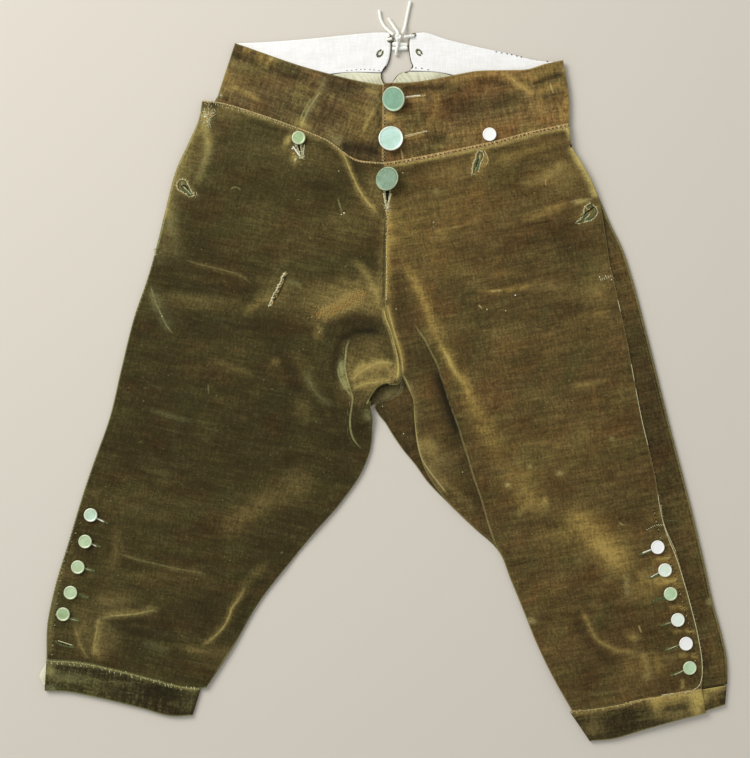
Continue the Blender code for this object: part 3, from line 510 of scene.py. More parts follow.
    def rim(self, edges: str) -> Array:
        """Distance from the nearest of the pale edges, worn and with a painted sheen, named by their first
        letters: tflr.
        """
        across, down = self.lengths()
        found = {"t": down, "f": down[-1:] - down, "l": across, "r": across[:, -1:] - across}
        apart = [found[letter] for letter in edges] or [np.full(across.shape, 99.0)]
        return np.minimum.reduce(apart)

    def cut(self) -> tuple[tuple[float, float], float]:
        """The flat size in metres: widest row and longest column, and the sheet's area."""
        across, down = self.lengths()
        a = self.points[1:, :-1] - self.points[:-1, :-1]
        b = self.points[:-1, 1:] - self.points[:-1, :-1]
        area = np.linalg.norm(np.cross(a, b), axis=-1).sum() * MM * MM
        width, length = across[:, -1].max() * MM, down[-1].max() * MM
        return (float(width), float(length)), float(min(area, width * length))


# --- Meshes ---

def ride(item: Item, slot: str, *nodes: str) -> Item:
    """Tie a piece to the one body and let it stand for CAD nodes."""
    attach(item, ROOT)
    if nodes:
        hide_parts(*nodes)
    log.info("%s: %d faces, for %s", item.name, len(item.data.polygons), ", ".join(nodes) or "itself")
    return item


def grid_faces(rows: int, columns: int, closed: bool = False) -> Array:
    """The four corners of each face of a grid, counter-clockwise from above."""
    index = np.arange(rows * columns).reshape(rows, columns)
    if closed:
        index = np.concatenate([index, index[:, :1]], axis=1)
    corners = [index[:-1, :-1], index[1:, :-1], index[1:, 1:], index[:-1, 1:]]
    return np.stack(corners, axis=-1).reshape(-1, 4)


def new_mesh(name: str, points: Array, faces: Array | list, material: Material) -> Item:
    """Make a smooth object from points in millimetres, at the origin."""
    mesh = bpy.data.meshes.new(name)
    rows = faces.tolist() if isinstance(faces, np.ndarray) else faces
    mesh.from_pydata((points.reshape(-1, 3) * MM).tolist(), [], rows)
    mesh.materials.append(material)
    mesh.shade_smooth()
    item = bpy.data.objects.new(name, mesh)
    bpy.context.scene.collection.objects.link(item)
    return item


def attribute(item: Item, name: str, values: Array) -> None:
    """Give a mesh's points an attribute, one number or three for each point."""
    kind, part = ("FLOAT_VECTOR", "vector") if values.shape[-1] == 3 else ("FLOAT", "value")
    layer = item.data.attributes.new(name, kind, "POINT")
    layer.data.foreach_set(part, values.astype(np.float32).ravel())


@dataclass(frozen=True)
class Sheet:
    """How a sheet is made up: its piece, CAD node and slot, how it lies, its wall and its pale edges,
    worn and with a painted sheen.
    """

    piece: str
    node: str
    held: str
    rests_on: tuple[str, ...]
    slot: str = "velvet"
    wall: float = VELVET_WALL
    rims: str = ""

    def make(self, cloth: Cloth, material: Material, ground: "Ground | None") -> None:
        """Make the sheet: its grid with its worn tones and its painted shade and sheen as attributes, and
        its wall.

        The flat UV map is the length run along the rows and down the columns, in metres.

        Args:
            cloth: the worn grid.
            material: its finish.
            ground: what it is laid on top of, if threads may lie on it.
        """
        item = new_mesh(self.piece, cloth.points, grid_faces(*cloth.points.shape[:2]), material)
        attribute(item, "tone", np.clip(cloth.tone, 0, 1.6))
        for letter, channel in zip("ab", cloth.strokes):
            attribute(item, f"stroke_{letter}", channel)
        attribute(item, "rim", np.minimum(cloth.rim(self.rims), 99)[..., None])
        across, down = cloth.lengths()
        flat = np.stack([across * MM, -down * MM], axis=-1).reshape(-1, 2)
        corners = np.empty(len(item.data.loops), dtype=np.int32)
        item.data.loops.foreach_get("vertex_index", corners)
        item.data.uv_layers.new(name="flat").data.foreach_set("uv", flat[corners].astype(np.float32).ravel())
        solid = item.modifiers.new("wall", "SOLIDIFY")
        solid.thickness, solid.offset = self.wall * MM, 0.0
        ride(item, self.slot, self.node)
        size, area = cloth.cut()
        list(self.rests_on)
        if ground is not None:
            ground.lay(cloth, self.wall)


def tubes(paths: Array, radius: Array | float, sides: int = 5) -> tuple[Array, Array]:
    """Carry a ring along many paths at once.

    Each ring lies square to its path: its first axis is the upright made square to the
    run, its second their cross product. The ends are closed with one face each.

    Args:
        paths: n paths of k points.
        radius: one number, or one for each path or point.
        sides: points in a ring.

    Returns:
        All points, and the faces' corner numbers as lists.
    """
    count, steps = paths.shape[:2]
    runs = np.gradient(paths, axis=1)
    runs /= np.linalg.norm(runs, axis=-1, keepdims=True) + 1e-9
    up = np.zeros_like(runs)
    up[..., 2] = 1.0
    up[np.abs(runs[..., 2]) > 0.9] = (0.0, 1.0, 0.0)
    second = np.cross(runs, up)
    second /= np.linalg.norm(second, axis=-1, keepdims=True)
    first = np.cross(second, runs)
    turn = np.linspace(0, 2 * math.pi, sides, endpoint=False)
    size = np.broadcast_to(radius, (count, steps))
    ring = np.cos(turn)[:, None] * first[:, :, None] + np.sin(turn)[:, None] * second[:, :, None]
    points = paths[:, :, None] + ring * size[..., None, None]
    base = grid_faces(steps, sides, closed=True)[:, ::-1]
    start = (np.arange(count) * steps * sides)[:, None, None]
    walls = (base[None] + start).reshape(-1, 4).tolist()
    caps = np.stack([np.arange(sides)[::-1], np.arange(sides) + (steps - 1) * sides])
    return points.reshape(-1, 3), walls + (caps[None] + start).reshape(-1, sides).tolist()


class Ground:
    """The top of the cloth, which stitches and threads lie on."""

    def __init__(self) -> None:
        """Start with nothing laid down."""
        self.points: list[Array] = []
        self.faces: list[Array] = []
        self.tree: BVHTree | None = None

    def lay(self, cloth: Cloth, wall: float) -> None:
        """Add a sheet by its upper surface."""
        start = sum(len(part) for part in self.points)
        self.points.append((cloth.points + (0, 0, wall / 2)).reshape(-1, 3))
        self.faces.append(grid_faces(*cloth.points.shape[:2]) + start)
        self.tree = None

    def height(self, xy: Array) -> Array:
        """The height of the top of the cloth under each place."""
        if self.tree is None:
            corners = np.concatenate(self.faces).tolist()
            self.tree = BVHTree.FromPolygons(np.concatenate(self.points).tolist(), corners)
        places = np.asarray(xy, dtype=float).reshape(-1, 2)
        hits = [self.tree.ray_cast((x, y, 90.0), (0.0, 0.0, -1.0))[0] for x, y in places]
        levels = [0.0 if hit is None else hit.z for hit in hits]
        return np.array(levels).reshape(np.shape(xy)[:-1])

    def on(self, xy: Array, lift: Array | float = 0.0) -> Array:
        """The same places as points on the cloth, lifted."""
        xy = np.asarray(xy, dtype=float)
        return np.concatenate([xy, (self.height(xy) + lift)[..., None]], axis=-1)


# --- Finishes ---

CURVE = {"interpolation_type": "SMOOTHSTEP"}
# A Mix node's colours go in at the sockets 6 and 7, its factor at 0, and its result comes out at 2.
COLOURS = {"data_type": "RGBA"}
MIXED = 2


def linear(colour: str) -> tuple[float, float, float, float]:
    """Turn an sRGB hex colour into linear light with full alpha."""
    parts = [int(colour[i:i + 2], 16) / 255 for i in (1, 3, 5)]
    return (*[c / 12.92 if c <= 0.04045 else ((c + 0.055) / 1.055) ** 2.4 for c in parts], 1.0)


class Look:
    """A Principled material as it is built up."""

    def __init__(self, name: str, inputs: dict[str, object]) -> None:
        """Start a material with some of its shader's own sockets set."""
        self.material = bpy.data.materials.new(name)
        self.material.use_nodes = True
        self.tree = self.material.node_tree
        self.shader = self.tree.nodes["Principled BSDF"]
        for socket, value in inputs.items():
            self.shader.inputs[socket].default_value = value

    def add(self, kind: str, inputs: tuple | dict = (), out: int | str = 0, **settings: object) -> Socket:
        """Add one shader node.

        Args:
            kind: the node's type, without its ShaderNode prefix.
            inputs: a value or the output that feeds it for each socket, in order or by name.
            out: the output that is wanted.
            settings: the node's own properties.

        Returns:
            That output.
        """
        node = self.tree.nodes.new("ShaderNode" + kind)
        for name, value in settings.items():
            setattr(node, name, value)
        for name, value in (inputs if isinstance(inputs, dict) else dict(enumerate(inputs))).items():
            if isinstance(value, Socket):
                self.tree.links.new(value, node.inputs[name])
            else:
                node.inputs[name].default_value = value
        return node.outputs[out]

    def clouds(self, long: float, wide: float, turn: float = 0.0, detail: float = 2.0) -> Socket:
        """An uneven pattern whose patches are so many millimetres long and wide, turned in degrees."""
        placed = self.add("Mapping", {
            "Vector": self.add("TexCoord", out="Object"), "Rotation": (0, 0, math.radians(turn)),
            "Scale": (long * MM, wide * MM, wide * MM),
        }, vector_type="TEXTURE")
        return self.add("TexNoise", {"Vector": placed, "Scale": 1.0, "Detail": detail, "Roughness": 0.6})

    def parts(self, name: str) -> bpy.types.bpy_prop_collection:
        """The three numbers of one of the piece's attributes."""
        three = self.add("Attribute", out="Vector", attribute_name=name)
        return self.add("SeparateXYZ", (three,)).node.outputs

    def finish(self, colour: Socket, relief: Socket, strength: float, depth_mm: float) -> Material:
        """Feed the shader its colour and its bump.

        Returns:
            The material.
        """
        bump = self.add("Bump", {"Height": relief, "Strength": strength, "Distance": depth_mm * MM})
        for value, socket in ((colour, "Base Color"), (bump, "Normal")):
            self.tree.links.new(value, self.shader.inputs[socket])
        return self.material


@dataclass(frozen=True)
class Velvet:
    """Cotton velvet, woven with a cut pile on a ribbed ground, then worn for years.

    To the eye it is dull and dark face on, paler where it turns away, hatched finely along
    its ribs and streaked across them where the pile is thin. It is golden where rubbing has worn it
    to the ground and sage where the pile is pressed flat. Sage lines are also painted along its crests
    and edges as a painted sheen, and its folds and hollows are painted nearly black as shade. Its dye
    has turned unevenly, to russet in some clouds and to moss in others.
    """

    name: str
    deep: str
    body: str
    lit: str
    grain: float                 # the cross threads' way, in degrees
    gold: str = "#a88c4c"
    # pale: pressed pile, and the painted sheen on crests and edges
    pale: str = "#9a9262"
    gilt: str = "#c6b468"
    # dark: painted shade in folds and hollows, and darker pile
    dark: str = "#1c170b"
    russet: str = "#5e3a1b"
    moss: str = "#4a4b26"
    russet_share: float = 0.34
    moss_share: float = 0.34
    contrast: float = 1.0
    warp_share: float = 0.2      # of the streaks along the ribs
    rim: float = 0.55            # how pale the edges are, worn and with a painted sheen
    sheen: str = "#b0a060"
    rib_mm: float = 2.6          # real ribs are 0.6 mm apart, too fine to show, so these are coarser

    def material(self) -> Material:
        """Build the nodes: cloth patterns, then worn tones and painted shade, then thin lines and the pale
        edges with their painted sheen.
        """
        look = Look(self.name, {
            "Roughness": 0.86, "IOR": 1.45, "Specular IOR Level": 0.16, "Sheen Weight": 0.2,
            "Sheen Roughness": 0.4, "Sheen Tint": linear(self.sheen),
        })
        add, clouds, grain = look.add, look.clouds, self.grain
        # Patterns in millimetres. Real threads are 0.6 mm apart, so the finest are drawn coarser.
        streaks, warp = clouds(56, 6, grain, 5), clouds(30, 4, grain + 90, 3)
        threads, ribs = clouds(14, 1.9, grain), clouds(8, self.rib_mm * 0.8, grain + 90)
        nap, mottle, broad = clouds(2.3, 2.1, grain, 3), clouds(22, 14, grain, 3), clouds(90, 46, grain + 8)
        weights = (
            (streaks, 0.66), (warp, self.warp_share), (threads, 0.46), (ribs, 0.56), (nap, 0.74),
            (broad, 0.42), (mottle, 0.5),
        )
        total: object = 0.5 - sum(weight for _, weight in weights) / 2
        for pattern, weight in weights:
            total = add("Math", (pattern, weight, total), operation="MULTIPLY_ADD")
        total = add("Math", (total, 0.5), operation="SUBTRACT")
        total = add("Math", (total, self.contrast, 0.5), operation="MULTIPLY_ADD")
        colour = add("ValToRGB", (total,))
        stops = colour.node.color_ramp.elements
        stops[0].position, stops[0].color = 0.2, linear(self.deep)
        stops[1].position, stops[1].color = 0.84, linear(self.lit)
        stops.new(0.52).color = linear(self.body)
        for turned, share, slant in ((self.russet, self.russet_share, 0), (self.moss, self.moss_share, 40)):
            cloud = add("Math", (nap, 0.35, clouds(44, 24, grain + slant, 5)), operation="MULTIPLY_ADD")
            cloud = add("MapRange", (cloud, 0.6, 0.85, 0.0, share), **CURVE)
            inputs = {0: cloud, 6: colour, 7: linear(turned)}
            colour = add("Mix", inputs, MIXED, blend_type="COLOR", **COLOURS)

        # Worn gold where the pile is torn, pale where the pile is fuzzed and as a painted sheen, dark as
        # painted shade and darker pile, and lint over all of it.
        worn_and_painted_tone = look.parts("tone")
        pile = add("Math", (ribs, nap), operation="ADD")
        torn = add("MapRange", (add("Math", (pile, threads), operation="ADD"), 1.1, 1.9, 0.58, 1.16), **CURVE)
        fuzz_and_sheen = add("MapRange", (add("Math", (mottle, nap), operation="ADD"), 0.75, 1.25, 0.5, 1.35), **CURVE)
        gold, pale, dark, ground = (
            add("Math", (worn_and_painted_tone[part], share), operation="MULTIPLY", use_clamp=True)
            for part, share in ((0, torn), (1, fuzz_and_sheen), (2, 0.92), (0, 0.9))
        )
        lint = add("MapRange", (clouds(3.0, 2.4, 20, 0), 0.77, 0.9, 0, 0.42), **CURVE)
        pale = add("Math", (pale, lint), operation="MAXIMUM")
        # Thin lines, whose strength ends 1.45 mm from the middle, or 2.8 mm where they are dark. The pale
        # lines are worn pile and painted sheen, the dark ones painted shade in folds.
        frayed = add("MapRange", (nap, 0.3, 0.65, 0.6, 1.15), **CURVE)
        relief = add("Math", (threads, 0.5, pile), operation="MULTIPLY_ADD")
        for letter in "ab":
            line = look.parts(f"stroke_{letter}")
            apart = add("Math", (line[0],), operation="ABSOLUTE")
            near = add("MapRange", (apart, 0.25, 1.45, 1.0, 0.0), **CURVE)
            wide = add("MapRange", (apart, 0.5, 2.8, 1.0, 0.0), **CURVE)
            rub_and_sheen = add("Math", (line[1], frayed), operation="MULTIPLY")
            rub_and_sheen = add("Math", (near, rub_and_sheen), operation="MULTIPLY")
            pale = add("Math", (pale, rub_and_sheen), operation="MAXIMUM")
            folded = add("Math", (wide, line[2]), operation="MULTIPLY")
            dark = add("Math", (dark, folded), operation="MAXIMUM")
            raised = add("Math", (near, line[1]), operation="MULTIPLY")
            relief = add("Math", (raised, 0.8, relief), operation="MULTIPLY_ADD")
        # The edges: a pale line along them, worn pile and a painted sheen.
        edge_rub_and_sheen = add("Attribute", out="Fac", attribute_name="rim")
        edge_rub_and_sheen = add("Math", (nap, 1.6, edge_rub_and_sheen), operation="MULTIPLY_ADD")
        edge_rub_and_sheen = add("MapRange", (edge_rub_and_sheen, 0.8, 2.5, 1.0, 0.0), **CURVE)
        edge_rub_and_sheen = add("Math", (edge_rub_and_sheen, self.rim), operation="MULTIPLY")
        pale = add("Math", (pale, edge_rub_and_sheen), operation="MAXIMUM")
        pale = add("Math", (pale, 1.0), operation="MULTIPLY", use_clamp=True)

        bare = add("MapRange", (total, 0.15, 0.82, 0.5, 1.0), **CURVE)
        worn = add("Mix", {0: bare, 6: colour, 7: linear(self.gold)}, MIXED, **COLOURS)
        pressed_pile_and_sheen = add("Mix", {0: ground, 6: linear(self.pale), 7: linear(self.gilt)}, MIXED, **COLOURS)
        for share, tint in ((gold, worn), (pale, pressed_pile_and_sheen), (dark, linear(self.dark))):
            colour = add("Mix", {0: share, 6: colour, 7: tint}, MIXED, **COLOURS)
        return look.finish(colour, relief, 0.6, 0.35)


@dataclass(frozen=True)
class Linen:
    """Plain-woven linen or cotton: matt, with fine crossed threads, faint soil and painted shade in its
    folds.
    """

    name: str
    body: str
    shade: str
    thread_mm: float = 1.4       # real threads are 0.5 mm apart, drawn coarser so that they show
    soil: float = 0.5

    def material(self) -> Material:
        """Build the nodes: crossed threads from two noises, over soft soil and painted shade."""
        look = Look(self.name, {"Roughness": 0.9, "Specular IOR Level": 0.2, "Sheen Weight": 0.1})
        warp, weft = (look.clouds(14, self.thread_mm, turn) for turn in (0, 90))
        weave = look.add("Math", (warp, weft), operation="ADD")
        soil = look.add("MapRange", (look.clouds(34, 20, 15, 4), 0.38, 0.72, 0, self.soil), **CURVE)
        # worn: the soil plus the painted shade in gathers and creases, from the tone's third part.
        worn = look.add("Math", (soil, look.parts("tone")[2]), operation="ADD", use_clamp=True)
        grey = look.add("CombineColor", (look.add("MapRange", (weave, 0.7, 1.3, 0.9, 1.0), **CURVE),) * 3)
        colour = look.add("Mix", {0: worn, 6: linear(self.body), 7: linear(self.shade)}, MIXED, **COLOURS)
        colour = look.add("Mix", {0: 1.0, 6: colour, 7: grey}, MIXED, blend_type="MULTIPLY", **COLOURS)
        return look.finish(colour, weave, 0.4, 0.15)


@dataclass(frozen=True)
class ThreadFinish:
    """Spun sewing thread: matt, a little darker in its twist."""

    name: str
    body: str
    shade: str

    def material(self) -> Material:
        """Build the nodes: two tones along the twist, 1 mm apart."""
        look = Look(self.name, {"Roughness": 0.85, "Specular IOR Level": 0.2})
        twist = look.add("MapRange", (look.clouds(2.4, 0.9, 35, 3), 0.35, 0.65, 0.0, 1.0), **CURVE)
        colour = look.add("Mix", {0: twist, 6: linear(self.body), 7: linear(self.shade)}, MIXED, **COLOURS)
        return look.finish(colour, twist, 0.4, 0.1)


@dataclass(frozen=True)
class TinnedBrass:
    """Stamped brass button, tinned: a dulled pale metal, tarnished green, with a bright lip, worn and a
    painted highlight.
    """

    tone: str
    face: str
    tarnish: str
    # lip: the bright lip's colour, worn metal and a painted highlight
    lip: str = "#e6ecd6"
    metallic: float = 0.3
    roughness: float = 0.45

    def material(self) -> Material:
        """Build the nodes: tarnish clouds 7 mm across, fine scratches, and the bright lip, worn and a painted
        highlight.
        """
        look = Look(f"tinned_brass_{self.tone}", {"Metallic": self.metallic, "Roughness": self.roughness})
        add, clouds = look.add, look.clouds
        cloud = add("MapRange", (clouds(11, 8, 20, 4), 0.36, 0.66, 0.0, 1.0), **CURVE)
        specks = add("MapRange", (clouds(1.6, 1.4), 0.6, 0.74, 0, 0.5), **CURVE)
        share = add("Math", (cloud, specks), operation="ADD", use_clamp=True)
        colour = add("Mix", {0: share, 6: linear(self.face), 7: linear(self.tarnish)}, MIXED, **COLOURS)
        # worn: where the lip is painted bright, worn metal and a painted highlight, broken by clouds.
        worn = add("MapRange", (clouds(9, 9), 0.35, 0.6, 0.45, 1.0), **CURVE)
        worn = add("Math", (add("Attribute", out="Fac", attribute_name="lip"), worn), operation="MULTIPLY")
        colour = add("Mix", {0: worn, 6: colour, 7: linear(self.lip)}, MIXED, **COLOURS)
        scratches = clouds(12, 0.35, 64)
        low, high = self.roughness - 0.08, self.roughness + 0.12
        rough = add("MapRange", (scratches, 0.3, 0.7, low, high), **CURVE)
        look.tree.links.new(rough, look.shader.inputs["Roughness"])
        return look.finish(colour, scratches, 0.25, 0.05)


RIGHT_LEG_VELVET = Velvet(
    "worn_velvet_right_leg", "#2c260f", "#40371c", "#5c5330", grain=-12, gold="#9e8a50", pale="#8c8c5e",
    moss_share=0.4, russet_share=0.3, rim=0.75, contrast=0.85,
)
LEFT_LEG_VELVET = Velvet(
    "worn_velvet_left_leg", "#3b2e16", "#594928", "#7d673c", grain=11, gold="#a98e4c", pale="#a0935f",
    russet_share=0.36, moss_share=0.3, contrast=0.92,
)
BAND_VELVET = Velvet("worn_velvet_waistband", "#3a2d17", "#5d4e30", "#88764a", grain=-20, warp_share=0.5)
LEFT_BAND_VELVET = Velvet(
    "worn_velvet_waistband_left", "#463419", "#735d37", "#a08351", grain=9, warp_share=0.5, gold="#b08e4e",
    pale="#b0a06e", russet_share=0.45,
)
RIGHT_KNEEBAND_VELVET = Velvet(
    "worn_velvet_kneeband_right", "#262110", "#38311b", "#5f5a36", grain=-11, contrast=1.25, gold="#85804f",
    pale="#96986a", russet_share=0.15, moss_share=0.5, warp_share=0.5, rim=0.9,
)
LEFT_KNEEBAND_VELVET = Velvet(
    "worn_velvet_kneeband_left", "#292210", "#3b321b", "#615733", grain=11, contrast=1.2, warp_share=0.4,
    rim=0.9,
)
BACK_VELVET = Velvet("worn_velvet_backs", "#2f2713", "#4b3e22", "#655534", grain=14, rim=0.65)
BAND_LINING = Linen("bleached_linen", "#ffffff", "#e4e4d4", soil=0.25)
SEAT_LINING = Linen("unbleached_cotton", "#ecebd0", "#a6a67e", soil=0.55)
COTTON_LACE = ThreadFinish("bleached_cotton_lace", "#ffffff", "#f0f2e4")


class Thread(Enum):
    """The threads in the handwork, each with its finish."""

    PALE = ThreadFinish("pale_green_thread", "#e0dbb2", "#aba77c")
    OLIVE = ThreadFinish("olive_silk_thread", "#787c4e", "#4c5030")
    WHITE = ThreadFinish("white_linen_thread", "#fbfbee", "#d8d9c4")
    GOLD = ThreadFinish("worn_gold_thread", "#cfb47c", "#a08150")
    # DARK is also laid in the gaps of buttonholes, eyelets and slits as painted shade.
    DARK = ThreadFinish("gap_shade_and_dark_brown_thread", "#241b10", "#140f07")
    AMBER = ThreadFinish("amber_worn_thread", "#caa45e", "#ac8642")
    RUST = ThreadFinish("rust_brown_thread", "#5a3519", "#3a220f")
    GREEN = ThreadFinish("green_faded_thread", "#6a7a52", "#3c4a30")


PALE, OLIVE, WHITE, GOLD, DARK, AMBER, RUST, GREEN = Thread


class ButtonLitTone(Enum):
    """The buttons' tones, from dark teal to bright: one tinned brass in lighter and darker copies, their
    face colours painted reflections of the light that falls on each.
    """

    TEAL = TinnedBrass("teal", "#8ab59a", "#7fa58a", "#c3d0b2")
    GREY = TinnedBrass("grey", "#67806a", "#5c755e", "#9fae8c")
    MINT = TinnedBrass("mint", "#cdefe4", "#bde0cf", "#f2f6e6")
    BRIGHT = TinnedBrass("bright", "#ffffff", "#fbfffb", "#fffff8", metallic=0.0)
    SILVER = TinnedBrass("silver", "#f4fff4", "#e4f6e2", "#fbfdee", metallic=0.1)
    PALE = TinnedBrass("pale", "#cbe6d4", "#b9d3b6")
    GREEN = TinnedBrass("green", "#c4dab0", "#b2c79c", "#d8e2c0")
    LEAF = TinnedBrass("leaf", "#cfeec6", "#bcdcae", "#e2eccb")
    MOSS = TinnedBrass("moss", "#adc998", "#9cb582", "#dde2c0")




# --- Creases, lines and patches of each sheet: worn ones, and painted shade and sheen ---
#
# Marks are rows of a line, lift, left and right reach, gold, pale, dark and fade. Strokes are
# rows of a line, pale, dark, channel and fade. Stains are rows of x, y, half length, half width,
# turn, gold, pale and dark. Gold is worn pile; pale is pressed pile and painted sheen on crests and
# fold edges; dark is painted shade in folds and hollows, and darker pile in broad patches.

PUFF_EDGE = (
    (-37, 53), (-38.5, 48.9), (-40.4, 42.3), (-41.3, 32.9), (-42.3, 21.6), (-40.4, 10.3), (-36.6, -2.8),
    (-33.8, -13.2), (-35.1, -23.5), (-36.6, -34.8), (-36.1, -46.1), (-32.9, -57.4), (-24.4, -68.7),
)
PUFF_LIP = (
    (-41.7, 30), (-45, 26), (-48, 22), (-49.2, 16.9), (-47, 8.5), (-43.2, 0.9), (-38, -7), (-34.8, -13),
)
BY_THE_FLY = (
    (-66, 271), (-58, 267), (-50, 261), (-44, 254), (-39, 243), (-34, 231), (-29, 220), (-22, 208),
    (-14, 198), (-4, 188),
)
ARC_TO_FLY = ((-37.6, 140), (-24.4, 130.8), (-17, 121), (-12, 110), (-8.5, 100), (-6, 90), (1, 78))
LEFT_OF_PUFF = (
    (-112, 43), (-103, 35), (-94, 27), (-88, 19), (-83, 9), (-79, 0), (-72, -9), (-62, -17), (-52, -22),
)
RIGHT_HIP = ((-256, 111), (-253, 101), (-249, 90), (-243.5, 78), (-238, 67), (-231, 58))
RIGHT_KNEE = ((-313, -256), (-303, -252.5), (-287, -251), (-268, -249), (-252, -246), (-243, -248))
RIGHT_KNEE_BRANCH = ((-309, -251), (-313, -259), (-315, -270), (-317.5, -283), (-318.5, -297))
RIGHT_KNEE_HOOK = ((-340, -262), (-336.5, -272), (-333, -283), (-328, -293), (-322, -300))
RIGHT_KNEE_STREAK = ((-294, -182), (-277, -188), (-252, -194), (-226, -200), (-192, -206))
RIGHT_INNER_RIDGE = (
    (-121, -190), (-132, -199), (-143, -209), (-151, -218), (-158, -232), (-166, -243), (-171, -256),
    (-178, -267), (-190, -278), (-201, -286),
)
RIGHT_TEAR_STREAK = ((-220, 140), (-202, 134), (-177, 128), (-156, 121), (-143, 111))
CENTRE_RIDGE_RIGHT = (
    (1, 90), (1.9, 78), (4.8, 69.6), (9.5, 59.3), (12.3, 48), (14.7, 36.7), (16, 25.4), (16, 16), (14.2, 5),
)
CENTRE_RIDGE_LEFT = ((4, 92), (7, 78), (11, 63), (15, 50), (19, 36), (21, 22), (21.7, 11))
SEAM_TO_FLY = ((3, 186), (1, 160), (0, 130), (0, 105), (1, 88))
SLIT_LIP = ((-19, -20), (-16, -14), (-12, -7), (-7, -0.5), (0, 3.4), (8, 3.6))
SLIT = ((-15, -16), (-10.3, -8.5), (-5.6, -2.4), (1.9, 1.4), (6.5, 1.4))
PUFF_ARC_1 = ((-36, 5), (-30, 11.5), (-24.4, 16), (-17, 20.5), (-11.2, 23.5), (1.9, 26.3), (12, 25))
PUFF_ARC_2 = ((-34.5, -3), (-27, 0.5), (-20.6, 2.8), (-5.6, 4.7), (10, 7.5))
PUFF_ARC_3 = ((-18, 28), (-24.4, 21.6), (-32.5, 11))
ORANGE_RUB = ((-73, 77), (-58, 83), (-43, 89.4), (-32, 97), (-20, 102))

